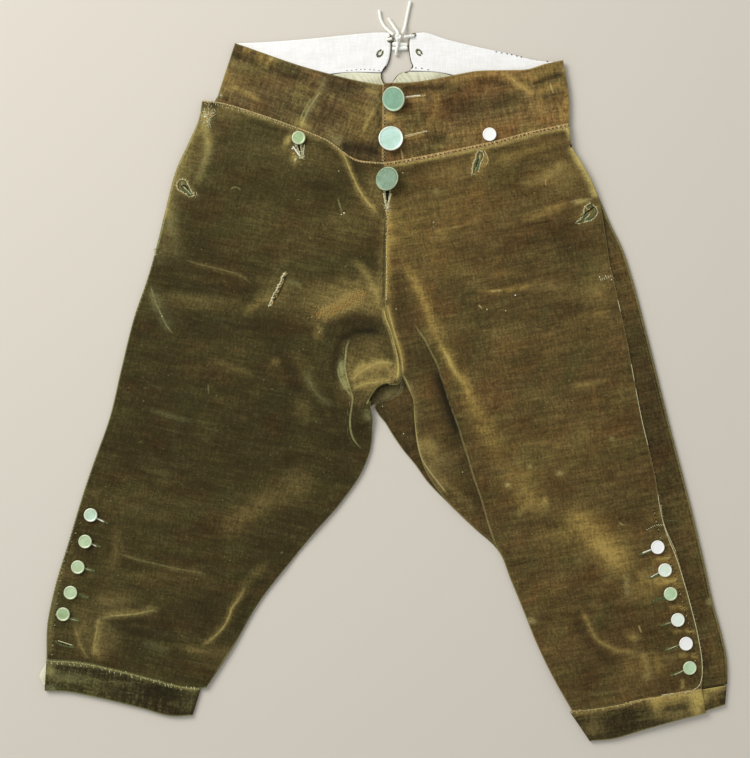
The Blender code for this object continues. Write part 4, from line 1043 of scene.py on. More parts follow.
RIGHT_FRONT_MARKS = (
    (((-36, 58), (-44, 30), (-46, 4), (-42, -22), (-36, -45), (-26, -66)), 6.5, 5, 34),
    (((2, 50), (-5, 25), (-8, 8)), 3.0, 22, 14),
    # Dark troughs round the puff: painted shade.
    (((-66, 60), (-34, 70), (-2, 60)), -1.4, 14, 12, 0, 0, 0.2),
    (((-50, 46), (-43, 53), (-33, 58), (-22, 60), (-10, 61), (-1, 59)), -1.2, 4, 5, 0, 0, 0.75, 0.1),
    (((-46, 48), (-50, 38), (-52, 27), (-53, 14), (-50, 2)), -0.7, 5, 4, 0, 0, 0.62, 0.15),
    (BY_THE_FLY, 1.3, 8, 8), (BY_THE_FLY, 0.3, 3.4, 3.4, 0.95, 0, 0, 0.1),
    (((-50, 262), (-36, 250), (-28, 232), (-18, 214), (-8, 200)), -0.5, 5, 5, 0, 0, 0.34),
    (RIGHT_HIP, 1.1, 5, 8, 0, 0.3), (LEFT_OF_PUFF, 1.1, 9, 11, 0.1), (LEFT_OF_PUFF[3:], 0, 4, 4, 0, 0.3),
    (((-126, 56), (-110, 34), (-99, 12), (-88, -10), (-74, -28)), -0.8, 9, 7, 0, 0, 0.42),
    (((-45.5, 29), (-45.6, 18), (-43, 6), (-39, -5)), 0.5, 3.2, 3.2, 0, 0.95, 0, 0.1),
    (((-38, 40), (-38, 20), (-35, 4)), 0.2, 2, 6, 0.4), (PUFF_ARC_1, 0.6, 3, 3.4, 0.85, 0.2, 0, 0.1),
    (PUFF_ARC_2, 0.6, 3, 3.4, 0.8, 0.15, 0, 0.1), (PUFF_ARC_3, 0.3, 3, 3, 0.5, 0.15),
    (((-34, 12), (-18, 16), (2, 14)), 0, 12, 13, 0.7),
    (((-30, 44), (-12, 40), (6, 42)), -0.4, 9, 7, 0, 0, 0.15),
    (((3, 26), (8, 16), (11, 6)), 0.2, 5, 5, 0.85), (SLIT, -0.9, 3, 3, 0, 0, 1.1, 0.1),
    (((-22, -24), (-18, -30), (-14, -38)), 0.5, 4, 5, 0, 0.4),
    (((-28, -46), (-20, -44), (-14, -42)), -0.5, 3, 3, 0, 0, 0.4), (ARC_TO_FLY, 0.8, 4, 5, 0.6, 0.1),
    (((-42, 148), (-26, 138), (-13, 122), (-5, 104)), -0.4, 5, 5, 0, 0, 0.25),
    (ORANGE_RUB, 0.7, 8, 6, 1.1, 0, 0, 0.12), (CENTRE_RIDGE_RIGHT, 0.8, 3, 3, 1.0, 0.3, 0, 0.1),
    (SEAM_TO_FLY, 0.5, 5, 4, 0.55, 0, 0, 0.1), (RIGHT_KNEE, 0.9, 3, 4.5, 0.45, 0.12, 0, 0.2),
    (((-312, -246), (-286, -241), (-258, -238)), -0.5, 4, 4, 0, 0, 0.3),
    (((-306, -262), (-284, -259), (-256, -256)), -0.5, 5, 6, 0, 0, 0.3),
    (RIGHT_KNEE_BRANCH, 0.8, 2.4, 5, 0.45, 0.12, 0, 0.2), (RIGHT_KNEE_HOOK, 0.5, 3, 2.4, 0.3),
    (((-352, -190), (-361, -230), (-366, -262), (-367, -298)), 0.1, 4.5, 4, 0.22, 0.24, 0, 0.1),
    (((-329, -262), (-327, -278), (-321, -290)), -0.4, 4, 4, 0, 0, 0.16),
    (RIGHT_KNEE_STREAK, 0.5, 3.4, 3.4, 0.18, 0, 0, 0.2),
    (((-296, -150), (-293, -168), (-294, -184), (-301, -204)), 0.5, 6, 6, 0.25),
    (((-267, -281), (-250, -286), (-232, -291)), 0.4, 3, 3, 0, 0.22),
    (RIGHT_INNER_RIDGE, 0.9, 5, 5, 0.22, 0, 0, 0.15), (RIGHT_INNER_RIDGE[3:], 0.2, 2, 2, 0.55, 0, 0, 0.15),
    (((-112, -196), (-138, -220), (-150, -240), (-160, -262), (-180, -288)), -0.5, 6, 6, 0, 0, 0.28),
    (((-262, 60), (-220, 48), (-170, 40), (-128, 44)), 0.5, 12, 10, 0.05),
    (RIGHT_TEAR_STREAK, 0.4, 3.4, 3.4, 0.18),
    (((-250, 112), (-204, 106), (-164, 101), (-126, 103)), -0.5, 7, 7, 0, 0, 0.3),
    (((-154, 76), (-143, 87), (-132, 95), (-120, 98)), 0.4, 5, 5, 0.5),
    (((-106, 117), (-97, 114), (-88, 107)), 0.3, 2.5, 2.5, 0, 0.25),
    (((-191, 283), (-192, 262), (-195, 250), (-200, 236), (-208, 216)), 0.7, 4.4, 5, 0.3, 0.34),
    (((-202, 290), (-213, 262), (-227, 232), (-241, 180)), 0.2, 4, 4, 0.4, 0.2, 0, 0.1),
    ([(x, y - 2.2) for x, y, _ in FALL_TOP_RIGHT[1:5]], 0.1, 3.4, 3.4, 0.55, 0.1, 0, 0.1),
    (((-214, 250), (-226, 214), (-236, 176), (-246, 140)), 0.5, 7, 8, 0.14, 0.1, 0, 0.1),
    (((-296, -20), (-250, -34), (-200, -44), (-150, -40)), 0.4, 12, 12),
    (((-262, -24), (-240, -31), (-208, -39)), 0.3, 3, 3, 0, 0.22),
    (((-196, 31), (-170, 22), (-138, 11)), 0.3, 5, 5, 0.25),
    (((-320, -110), (-270, -122), (-214, -134), (-160, -140)), 0.45, 11, 10, 0.04),
    (((-300, -60), (-250, -78), (-200, -88)), -0.4, 9, 9, 0, 0, 0.12),
    (((-150, 20), (-140, -30), (-126, -76), (-100, -116)), 0.5, 12, 14),
    (((-62, -104), (-98, -112), (-130, -126), (-160, -146), (-190, -168)), 0.6, 13, 13, 0.34),
    (((-92, -150), (-130, -152), (-150, -170)), -0.4, 12, 12, 0, 0, 0.2),
)
RIGHT_FRONT_STROKES = (
    (RIGHT_TEAR_STREAK, 0.25, 0, 1), (RIGHT_KNEE_STREAK, 0.25, 0, 1), (PUFF_EDGE, 1.1),
    (PUFF_LIP, 1.0, 0, 1), (BY_THE_FLY, 0.6, 0, 0, 0.2), (RIGHT_HIP, 0.75),
    (((-200.4, 296), (-211.4, 269), (-225.4, 239), (-238.4, 191), (-249.4, 147)), 0.8, 0, 0, 0.06),
    (LEFT_OF_PUFF[3:], 0.4, 0, 1, 0.3), (CENTRE_RIDGE_RIGHT, 1.2, 0, 0, 0.08), (SLIT_LIP, 1.1, 0, 1, 0.05),
    (SLIT, 0, 1.2, 0, 0.05), (RIGHT_KNEE, 0.7, 0, 0, 0.3), (RIGHT_KNEE_BRANCH, 0.4, 0, 1),
    (RIGHT_KNEE_HOOK, 0.22), (RIGHT_INNER_RIDGE[3:], 0.5, 0, 0, 0.3),
    (((-122, -223), (-150, -262), (-171, -294), (-189, -321)), 0.6, 0, 0, 0.2), (PUFF_ARC_1, 0.6, 0, 1),
    (PUFF_ARC_2, 0.5), (SEAM_TO_FLY, 0, 0.55),
    # A painted shadow beside the mended tear.
    (((-105, 124), (-109, 117), (-113, 106), (-118, 98), (-122, 90)), 0, 0.75),
    (((-168, 216), (-165, 218.5), (-160, 218), (-157, 216)), 0.5),
    (((-192, 3), (-192.4, -2), (-191.6, -7)), 0.45), (((-50, 206), (-48, 199), (-45.5, 192)), 0.5),
)
RIGHT_FRONT_STAINS = (
    (-44, 90, 26, 5, 27, 0.7), (-46, 100, 46, 18, 12, 0.75), (-14, 84, 14, 8, -30, 0.5),
    (-71.4, 60, 5, 8, 0, 0.6), (-26, 72, 30, 7, 6, 0, 0, 0.35), (-30, 180, 60, 26, 18, 0.2),
    (-10, 215, 16, 24, 0, 0.4), (-150, 262, 60, 20, -16, 0.12, 0.04), (-195, 295, 5, 9, 0, 0.9, 0.9),
    (-216, 217, 6, 12, 42, 0.4, 0.35), (-88, 257, 34, 16, -14, 0.2), (-105, 270, 3, 7, -30, 1.0, 0.5),
    (-97, 250, 4, 6, 0, 0.9, 0.3), (-236, 190, 8, 44, 12, 0.12, 0.16), (-207, 254, 9, 26, -20, 0.36),
    (-196, 278, 6, 14, 14, 0.5, 0.3), (-172, 298, 22, 7, -14, 0.34, 0.08), (-246, 145, 14, 12, 0, 0, 0.1),
    (-130, 190, 70, 40, -10, 0.08), (-200, 92, 50, 9, -6, 0.22), (-168, 72, 66, 14, -8, 0, 0, 0.28),
    (-232, 20, 46, 50, 0, 0, 0, 0.16), (-118, 104, 16, 16, 40, 0.3, 0.06),
    (-60, -20, 22, 30, 60, 0, 0, 0.2), (-88, -22, 8, 14, 0, 0.45), (-118, 27, 5, 5, 0, 0.5),
    (-120, -60, 50, 24, 50, 0, 0, 0.14), (-250, -60, 60, 30, -14, 0, 0, 0.1),
    (-250, -210, 60, 10, -8, 0.16), (-300, -128, 40, 16, -10, 0.12), (-296, -236, 22, 12, -8, 0.28, 0.06),
    (-304, -272, 14, 22, 8, 0.25, 0.1), (-328, -272, 12, 20, 12, 0.35, 0.05), (-313, -294, 7, 7, 0, 0.5),
    (-264, -272, 34, 12, -8, 0, 0, 0.4), (-210, -240, 34, 30, -40, 0, 0, 0.16),
    (-206, -290, 16, 5, -14, 0.45), (-176, -294, 16, 8, 50, 0.16), (-346, -200, 10, 80, 12, 0.1),
    (-18, 10, 30, 18, 20, 0.55), (-12, 42, 22, 14, 0, 0.3), (-14, -6, 26, 8, 18, 0.3),
    (-9, -30, 9, 16, 0, 0, 0.22),
)

LEFT_THIGH = (
    (33, 70), (38, 62), (45, 52), (52, 38), (58.6, 25), (64, 8), (70, -11), (76.5, -29.5), (82.6, -45),
    (87, -60), (92.6, -77), (98, -96), (106, -119), (118, -159), (125, -178),
)
LEFT_THIGH_RIDGE = (
    (14, 142), (20.8, 136), (30.2, 121), (39.6, 102.5), (47.1, 85.6), (50.9, 74.3), (55.6, 64.9),
    (59.3, 51.7), (62.2, 45), (70, 33), (76, 20), (83, 10), (89, 2), (96, -16), (108, -42), (122, -66),
    (138, -90),
)
LEFT_INSEAM = (
    (21.7, 13), (27.3, 0.9), (30.2, -8.5), (31.8, -17), (33, -25.4), (34.3, -40.5), (36.2, -53.6),
    (39.6, -70.6), (42.4, -80), (50, -92), (60, -105), (70, -118),
)
LEFT_KNEE_CREASE = (
    (214, -240), (222, -254), (228, -267), (235, -278), (246, -285), (258, -290), (272, -291), (284, -290),
)
LEFT_FRONT_MARKS = (
    ([(x, y - 3.0) for x, y, _ in FALL_TOP_LEFT], 0, 2.8, 2.8, 1.0, 0.8, 0, 0.02),
    # The left thigh's fold laps to the left, and the painted shadow it casts beside it.
    (LEFT_THIGH, 2.4, 3, 26, 0, 0, 0, 0.1), (LEFT_THIGH, 0, 13, 1.2, 0, 0, 0.5, 0.16),
    (((58, 26), (66, 0), (78, -36), (86, -64)), 0, 8, 1, 0, 0, 0.5),
    (LEFT_THIGH_RIDGE, 1.2, 9, 10, 0.2, 0, 0, 0.15), (LEFT_THIGH_RIDGE[:9], 0.2, 4.5, 6, 0.62, 0, 0, 0.3),
    (LEFT_THIGH_RIDGE[5:15], 0.2, 3.4, 5, 0.72, 0, 0, 0.36),
    (LEFT_THIGH_RIDGE[7:13], 0.2, 2, 2.4, 0.3, 0.45, 0, 0.4),
    (LEFT_THIGH_RIDGE[10:], 0, 10, 12, 0.36, 0, 0, 0.4),
    (CENTRE_RIDGE_LEFT, 0.8, 3, 3.2, 0.85, 0.15, 0, 0.1),
    (((6, 186), (5, 160), (4, 130), (5, 100), (8, 84)), 0.5, 5, 6, 0.5, 0, 0, 0.1),
    (LEFT_INSEAM, 0.4, 3, 4, 0, 0.3, 0, 0.1),
    (((46, -82), (62, -100), (86, -122), (110, -146)), 0.4, 3, 4, 0.15, 0.1),
    (((184, -136), (214, -150), (240, -172), (258, -192), (276, -214)), 0.9, 14, 17, 0.66, 0, 0, 0.3),
    (((222, -154), (244, -178), (264, -204)), 0.3, 8, 9, 0.36, 0.1, 0, 0.4),
    (((276, -206), (296, -210), (318, -208)), 0.6, 7, 7, 0.5, 0.1),
    (LEFT_KNEE_CREASE, 0.9, 3, 3, 0.5, 0.1, 0, 0.2),
    (((206, -244), (216, -264), (228, -284), (244, -298), (270, -302)), -0.7, 7, 5, 0, 0, 0.38),
    (((282, -288), (287, -300), (290, -312), (286, -324)), 0.7, 4, 4, 0.25, 0.2, 0, 0.2),
    (((297, -290), (301, -302), (303, -318)), 0.5, 4, 4, 0.4),
    (((266, -204), (267, -216), (268, -232)), 0.5, 3, 3, 0, 0.5),
    (((302, -190), (310, -188), (316, -184)), 0.4, 2, 2, 0.8, 0.2),
    (((294, -196), (300, -190), (306, -187)), 0.4, 2, 2, 0.6),
    (((306, -215), (314, -213), (323, -212)), 0.4, 2, 2, 0.9, 0.2),
    (((300, -219), (306, -216), (312, -216)), 0.3, 2, 2, 0.7),
    (((322, -240), (328, -243), (334, -242)), 0.4, 2, 2, 0.7, 0.1),
    (((312, -243), (318, -242), (324, -241)), 0.3, 2, 2, 0.5),
    (((329, -266), (336, -269), (342, -268)), 0.4, 2, 2, 0.8, 0.15),
    (((316, -270), (322, -268), (328, -268)), 0.3, 2, 2, 0.6),
    (((337, -294), (342, -297), (346, -296)), 0.4, 2, 2, 0.8, 0.15),
    (((322, -296), (329, -295), (334, -294)), 0.3, 2, 2, 0.6),
    (((327, -320), (328, -326), (327, -332)), 0.3, 2, 2, 0.7, 0.2),
    (((116, 249), (160, 258), (198, 272)), 0.4, 5, 5, 0.32),
    (((40, 232), (90, 240), (150, 250)), 0.4, 9, 9, 0.1),
    (((20, 214), (70, 214), (130, 224), (170, 232)), -0.4, 8, 8, 0, 0, 0.12),
    (((144, 222), (172, 227), (190, 238), (203, 250)), 0.5, 5, 5, 0.3, 0.14),
    (((206, 200.5), (216, 203), (228, 203.5)), 0.4, 2.2, 2.4, 0.4, 0.8, 0, 0.35),
    (((148, 183), (168, 188), (186, 195), (204, 201)), 0.5, 4.5, 4, 0.6),
    (((60, 190), (120, 188), (150, 190)), 0.45, 10, 9, 0.1),
    (((100, 104), (122, 105), (146, 107), (170, 114)), 0.4, 2.6, 2.6, 0.55),
    (((54, 168), (70, 172), (86, 177)), 0.2, 2.6, 2.6, 0.4),
    (((50, 150), (110, 136), (170, 134), (236, 142)), -0.4, 9, 9, 0, 0, 0.16),
    (((160, 112), (200, 104), (246, 100)), 0.5, 9, 9, 0.22, 0.1),
    (((190, 66), (220, 76), (252, 84)), 0.4, 5, 5, 0.3),
    (((110, 60), (160, 48), (210, 52), (262, 62)), 0.5, 11, 10, 0.06),
    (((130, 10), (170, 6), (220, 12), (272, 26)), -0.45, 9, 8, 0, 0, 0.14),
    (((206, 0), (228, 3), (250, 9)), 0.4, 4, 4, 0.3, 0.1),
    (((120, -60), (180, -70), (240, -60), (284, -50)), 0.45, 11, 11, 0.05),
    (((140, -110), (190, -118), (250, -110), (296, -100)), -0.4, 9, 9, 0, 0, 0.12),
    (((134, -84), (146, -100), (156, -120), (152, -140)), 0.6, 12, 16, 0.3),
    (((146, -136), (162, -130), (184, -127)), 0.5, 5, 5, 0.3, 0.08),
    (((160, -166), (186, -160), (210, -170)), 0.4, 6, 5, 0.3),
    (((160, -230), (184, -224), (208, -210)), 0.5, 7, 7, 0.12),
    (((176, -290), (200, -296), (226, -316)), 0.6, 7, 7),
    (((206.5, 266), (213, 251.5), (220, 240), (229, 222), (235, 207)), 0.2, 5, 5, 0.9, 1.3, 0, 0.06),
    (((199, 289), (203.4, 280), (206, 270)), 0.2, 3.4, 3.4, 0.8, 1.0, 0, 0.05),
    (((3.4, 196), (3.2, 150), (3.2, 96)), 0, 2.4, 2.4, 0.8, 0, 0, 0.05),
)
LEFT_FRONT_STROKES = (
    (LEFT_THIGH, 0.75, 0, 0, 0.06), (LEFT_INSEAM, 1.25, 0, 1, 0.05), (CENTRE_RIDGE_LEFT, 1.0),
    (((3.4, 196), (3.2, 150), (3.2, 96)), 0.9, 0, 1, 0.04),
    (((206.5, 266), (213, 251.5), (220, 240), (229, 222), (235, 207)), 1.2),
    (((205.6, 274), (206.4, 268), (205.4, 261)), 0, 1.0), (LEFT_THIGH_RIDGE[7:13], 0.5, 0, 1, 0.3),
    (LEFT_KNEE_CREASE, 0.25, 0, 0, 0.3), (((279.6, -261), (281.3, -266), (283.5, -271)), 1.0),
    (((104, 90), (106, 87.5), (108.6, 85)), 1.3), (((116, 104.8), (122, 105), (130, 105.4)), 0.6),
    (((203, 202), (214, 204.5), (230, 205)), 0.7), (((178, 228), (177.4, 223), (178.4, 219)), 0.6),
    (((259, -149), (261, -151), (263, -152)), 0.9), (((265, -206), (267, -216), (269, -230)), 0.4, 0, 1),
    (((282, -288), (287, -300), (290, -312), (286, -324)), 0.2, 0, 0, 0.3),
)
LEFT_FRONT_STAINS = (
    (224, 188, 8, 14, -44, 0.5, 0.3), (106, 246, 7, 13, -16, 0.7, 0.2), (60, 200, 70, 40, 8, 0.14),
    (20, 176, 18, 22, 0, 0.2), (5, 192, 4, 12, 0, 0.8, 0.2), (8, 161, 8, 5, 0, 0.55, 0.1),
    (150, 226, 70, 20, 12, 0.1), (196, 226, 20, 22, 20, 0.24, 0.1), (40, 150, 46, 36, -30, 0.16),
    (160, 160, 70, 14, 6, 0, 0, 0.12), (208, 170, 30, 30, 0, 0, 0, 0.2), (100, 130, 60, 16, -6, 0.1),
    (26, 50, 18, 44, 0, 0, 0, 0.3), (58, -30, 16, 50, 14, 0, 0, 0.2), (120, -70, 34, 50, 30, 0.04),
    (190, 80, 40, 40, 0, 0, 0, 0.14), (246, 30, 20, 70, 8, 0, 0, 0.12), (200, -60, 50, 40, 0, 0.1),
    (236, -170, 40, 22, -48, 0.35), (177, -125, 3.4, 6, 0, 0.6, 0.14), (149, -138, 5, 4, 0, 0.3, 0.26),
    (160, -114, 22, 20, 0, 0.26, 0.05), (18, 96, 14, 26, 0, 0, 0, 0.22),
    (250, -262, 30, 20, -20, 0, 0, 0.34), (283, -225, 16, 12, 0, 0.4), (274, -275, 6, 5, 0, 0.8, 0.3),
    (280, -306, 22, 12, 0, 0.22), (222, -306, 26, 18, 0, 0, 0, 0.3), (318, -200, 14, 60, 12, 0.2),
    (312, -211, 12, 6, 0, 0.5, 0.1), (190, -240, 24, 40, 24, 0.05), (162, -257, 5, 3, -10, 0, 1.0),
    (193, -95, 4, 3, 0, 0, 0.6), (160, -87.5, 2.4, 2.4, 0, 0, 0.9), (136, -108, 3, 2.4, 0, 0.3, 1.3),
    (250, -57, 2.4, 2.4, 0, 0, 0.9), (58, 214, 3, 3, 0, 0, 0.6), (50, -66, 10, 12, 20, 0.5, 0.2),
    (64, -88, 10, 14, 40, 0, 0.2), (240, 108, 14, 30, 0, 0.2, 0.1),
)

MAIN_BAND_CREASE = ((-68, 325), (-74.5, 316), (-80.3, 307.3), (-85.5, 297), (-89.1, 288.2), (-90.8, 282.5))
SIDE_BAND_CREASE = ((-79, 316.5), (-84.7, 307.3), (-89.1, 298.5), (-91.5, 291))
RIGHT_BAND_MARKS = (
    (MAIN_BAND_CREASE, 0.6, 3, 3, 0, 0.5, 0, 0.12),
    (((-63, 340), (-66, 332), (-70, 322)), 0.3, 4, 4, 0, 0.35),
    (((-174, 331), (-157, 325), (-142, 317.5), (-131, 311)), 0.5, 4, 4, 0.6, 0.12),
    (((-136, 351), (-110, 343), (-84, 336)), -0.4, 6, 6, 0, 0, 0.5, 0.35),
    (((-104, 343), (-72, 335)), -0.3, 4, 4, 0, 0, 0.3, 0.35),
    (((-74, 337), (-50, 331), (-24, 322)), -0.4, 6, 6, 0, 0, 0.5, 0.35),
    (((-48, 264), (-24, 262), (-3, 256)), -0.3, 9, 10, 0, 0, 0.85, 0.1),
    (((-172, 368), (-163, 364), (-153, 360)), -0.3, 4.5, 4.5, 0, 0, 0.55, 0.35),
    (((-153, 361), (-138, 355)), -0.3, 4, 4, 0, 0, 0.4, 0.4),
    (((-155, 371), (-150, 369), (-145, 367)), 0.4, 4, 4, 0.7, 0, 0, 0.1),
    (((-141, 365), (-130, 360), (-117, 354)), 0.4, 6, 6, 0.85, 0, 0, 0.1),
    (((-127, 368), (-130, 360), (-134, 350)), -0.3, 1.8, 1.8, 0, 0, 0.6),
    (((-119, 363), (-122, 354), (-126, 346)), -0.3, 1.8, 1.8, 0, 0, 0.6),
    (((-9, 308), (-14.3, 297), (-20.2, 285), (-24, 274)), 0.3, 2.2, 2.2, 0.5, 0.2),
    (((-22, 325.5), (-11.4, 324), (-4, 319.5)), 0.3, 2.6, 2.6, 0.6, 0.25),
    (((-150, 348), (-110, 334), (-60, 318)), 0.4, 7, 7, 0.14),
    (((-176, 306), (-140, 296), (-104, 282)), -0.2, 6, 6, 0, 0, 0.4),
    (((-5, 305), (-5, 292), (-5, 281)), -0.2, 3, 3, 0, 0, 0.55),
    (((-172, 352), (-172, 334), (-176, 316)), 0.4, 5, 6, 0.25),
)
RIGHT_BAND_STROKES = (
    (MAIN_BAND_CREASE, 1.0), (SIDE_BAND_CREASE, 0.8, 0, 1), (((-9, 308), (-14.3, 297), (-20.2, 285)), 0.4),
)
RIGHT_BAND_STAINS = (
    (-121.4, 360, 3, 2.6, 0, 0, 1.2), (-178, 319.5, 1.8, 2.4, 0, 0, 1.2),
    (-120, 325, 46, 14, -20, 0.1, 0, 0.12), (-28, 292, 20, 20, 0, 0.35), (-22, 273, 12, 6, 0, 0.4),
    (-160, 338, 18, 12, 0, 0.3), (-90, 289, 12, 5, -20, 0.7, 0.2), (-51, 270, 6, 5, 0, 0, 0.4),
    (-112, 312, 30, 9, -20, 0, 0, 0.25), (-60, 302, 12, 14, 0, 0, 0, 0.15),
)
LEFT_BAND_MARKS = (
    (
        ((126, 342), (139.6, 339), (146, 332), (153, 327), (160, 323), (166, 318)),
        0.9, 4, 4, 0.9, 0.12, 0, 0.1,
    ),
    (((60.4, 325), (59.6, 313), (57, 300), (48.7, 284)), 0.5, 4.5, 4.5, 0.5, 0, 0, 0.12),
    (((70, 336), (98, 341), (128, 345)), 0.3, 4.5, 4.5, 0.6, 0, 0, 0.1),
    (((154, 340), (162, 337.5), (170, 336)), 0.3, 3.6, 3.6, 0.75, 0, 0, 0.1),
    (((162, 332), (180, 337), (198, 343)), -0.4, 3.2, 3.2, 0, 0, 0.8, 0.1),
    (((168, 324), (184, 329), (199, 333)), 0.3, 3.2, 3.2, 0.6, 0, 0, 0.1),
    (((172, 316), (186, 320), (200, 323)), -0.3, 2.8, 2.8, 0, 0, 0.5, 0.1),
    (((18, 327), (44, 327.5), (70, 329)), -0.3, 3.4, 3.4, 0, 0, 0.72, 0.1),
    (((96, 332), (118, 334), (140, 330)), -0.2, 4, 4, 0, 0, 0.45),
    (((26, 313), (36, 314), (48, 316)), 0.4, 3, 3, 0.5),
    (((21.5, 273.4), (30, 274), (39, 276.5), (47.5, 279)), 0.4, 3, 3, 0.6),
    (((168, 300), (172, 310), (176, 318)), 0.3, 4, 4, 0.3),
    (((120, 262), (112, 290), (108, 316)), 0.3, 4, 4, 0.12),
)
LEFT_BAND_STROKES = (
    (((182, 333), (184, 328), (186.5, 321)), 0.8), (((19.3, 260), (20.4, 255), (21.5, 249)), 0.8),
    (((139.6, 339), (146, 332), (153, 327), (160, 323)), 0.5, 0, 1),
)
LEFT_BAND_STAINS = (
    (129, 311, 24, 13, 20, 0, 0, 0.6), (88, 305, 22, 20, -8, 0, 0, 0.58), (60, 272, 10, 6, 0, 0, 0, 0.7),
    (6, 295, 6.5, 4.6, 0, 1.2, 0.3), (36, 300, 24, 15, 0, 0, 0, 0.18), (9, 262, 8, 6, 0, 0.4),
    (172, 346, 24, 5, 16, 0.5), (199, 306, 6, 18, 0, 0.6), (180, 306, 20, 26, 0, 0.22),
    (150, 290, 44, 9, 10, 0.16), (30, 261, 20, 6, 8, 0, 0, 0.45), (102, 278, 26, 9, 10, 0.2),
    (200, 348, 5, 5, 0, 0.3, 0.7),
)

# Creases in the band linings, with painted shade along them.
BAND_LINING_MARKS = (
    (((-60, 350), (-36, 354), (-10, 360)), 0.25, 3, 3, 0, 0, 0.2),
    (((-130, 372), (-90, 366), (-50, 364)), 0.2, 5, 5, 0, 0, 0.05),
    (((50, 372), (90, 362), (130, 356)), 0.2, 5, 5, 0, 0, 0.05),
    (((-4, 384), (4, 376), (8, 366)), 0.2, 4, 4, 0, 0, 0.12),
)
BACK_MARKS = (
    (((-20, 300), (-60, 240), (-110, 180)), 0.35, 14, 16),
    (((-60, 60), (-130, 20), (-210, 10)), 0.35, 14, 14),
    (((-120, -120), (-190, -150), (-270, -150)), 0.35, 12, 12, 0.1),
    (((-200, -250), (-260, -246), (-320, -256)), 0.35, 8, 8, 0.15),
    (((30, 300), (70, 240), (120, 180)), 0.35, 14, 16), (((60, 60), (130, 20), (210, 10)), 0.35, 14, 14),
    (((120, -120), (190, -150), (270, -150)), 0.35, 12, 12, 0.1),
    (((210, -250), (260, -246), (320, -256)), 0.35, 8, 8, 0.15),
)
RIGHT_BACK_STAINS = ((-4, -24, 16, 16, 0, 0, 0.3), (8, -6, 14, 8, 20, 0, 0.25))
CURL_STROKES = ((((22, 12), (22.3, 0), (19, -7), (15, -11), (8, -14.5), (0, -17)), 1.2, 0, 0, 0.05),)
STRIP_STAINS = (
    (262, 120, 16, 40, 14, 0.2), (300, -20, 16, 60, 12, 0, 0, 0.12), (332, -150, 12, 40, 12, 0.16),
    (356, -250, 16, 40, 10, 0.1), (366, -300, 8, 24, 6, 0.2), (358, -236, 3, 4, 0, 0, 1.0),
)
RIGHT_KNEEBAND_MARKS = (
    (((-374, -302), (-345, -303), (-318, -306), (-296, -310)), 0, 2.8, 2.8, 0.7, 0.3, 0, 0.05),
    (((-304, -309), (-272, -316), (-246, -323), (-222, -330), (-200, -332)), 0, 2.2, 2.2, 0.7, 0.3, 0, 0.05),
)
LEFT_KNEEBAND_MARKS = (
    (((206, -360), (244, -353), (286, -344)), 0, 3, 3, 0.5, 0.15, 0, 0.05),
    (((286, -344), (320, -339), (349, -334)), 0, 3, 3, 0.9, 0.3, 0, 0.05),
)
RIGHT_KNEEBAND_STAINS = (
    (-345, -320, 22, 5, -6, 0.3, 0.25), (-366, -312, 5, 6, 0, 0.5, 0.3), (-366, -331, 6, 3, 0, 0, 0.5),
    (-250, -340, 40, 12, -14, 0, 0, 0.3), (-212, -346, 8, 12, 0, 0.3), (-300, -330, 16, 6, -12, 0.2),
)
LEFT_KNEEBAND_STAINS = (
    (344, -349, 8, 13, 0, 1.0, 0.4), (312, -345, 24, 5, 8, 0.9, 0.2), (300, -352, 7, 9, 0, 0.6, 0.3),
    (348, -342, 10, 6, 0, 0.8, 0.4), (362, -332, 14, 4, 10, 0.9, 0.4), (358, -346, 5, 5, 0, 0, 0, 0.5),
    (270, -360, 40, 8, 12, 0, 0, 0.3), (320, -360, 20, 6, 8, 0.3, 0.2), (232, -372, 14, 14, 0, 0.15, 0.1),
    (366, -342, 8, 12, 0, 0.15),
)


@dataclass(frozen=True)
class Spot:
    """A button: its CAD node, its place, its lean and the way its face leans, in degrees, and its tone, a
    painted reflection.
    """

    name: str
    x: float
    y: float
    tilt: float
    towards: float
    tone: ButtonLitTone = ButtonLitTone.PALE


LARGE_BUTTONS = (
    Spot("waist_button_1", 13, 315, 27, 200, ButtonLitTone.TEAL),
    Spot("waist_button_2", 8, 271, 4, 90, ButtonLitTone.MINT),
    Spot("waist_button_3", 6, 226, 26, 160, ButtonLitTone.GREY),
)
SMALL_BUTTONS = (
    Spot("fall_button_right", -93, 272, 4, 70, ButtonLitTone.MOSS),
    Spot("fall_button_left", 116, 276, 3, 60, ButtonLitTone.BRIGHT),
    Spot("knee_button_right_1", -321, -141, 3, 150),
    Spot("knee_button_right_2", -327, -170, 3, 170, ButtonLitTone.GREEN),
    Spot("knee_button_right_3", -335, -198, 3, 190, ButtonLitTone.GREEN),
    Spot("knee_button_right_4", -343, -226, 3, 160, ButtonLitTone.GREEN),
    Spot("knee_button_right_5", -351, -249.5, 3, 200, ButtonLitTone.MOSS),
    Spot("knee_button_left_1", 300, -176, 3, 30, ButtonLitTone.BRIGHT),
    Spot("knee_button_left_2", 308, -201, 3, 350, ButtonLitTone.SILVER),
    Spot("knee_button_left_3", 314, -227, 4, 10, ButtonLitTone.LEAF),
    Spot("knee_button_left_4", 322, -255.5, 3, 20, ButtonLitTone.SILVER),
    Spot("knee_button_left_5", 331, -281.5, 3, 0, ButtonLitTone.BRIGHT),
    Spot("knee_button_left_6", 335, -308, 4, 340, ButtonLitTone.LEAF),
)


# --- The garment's sub-assemblies ---

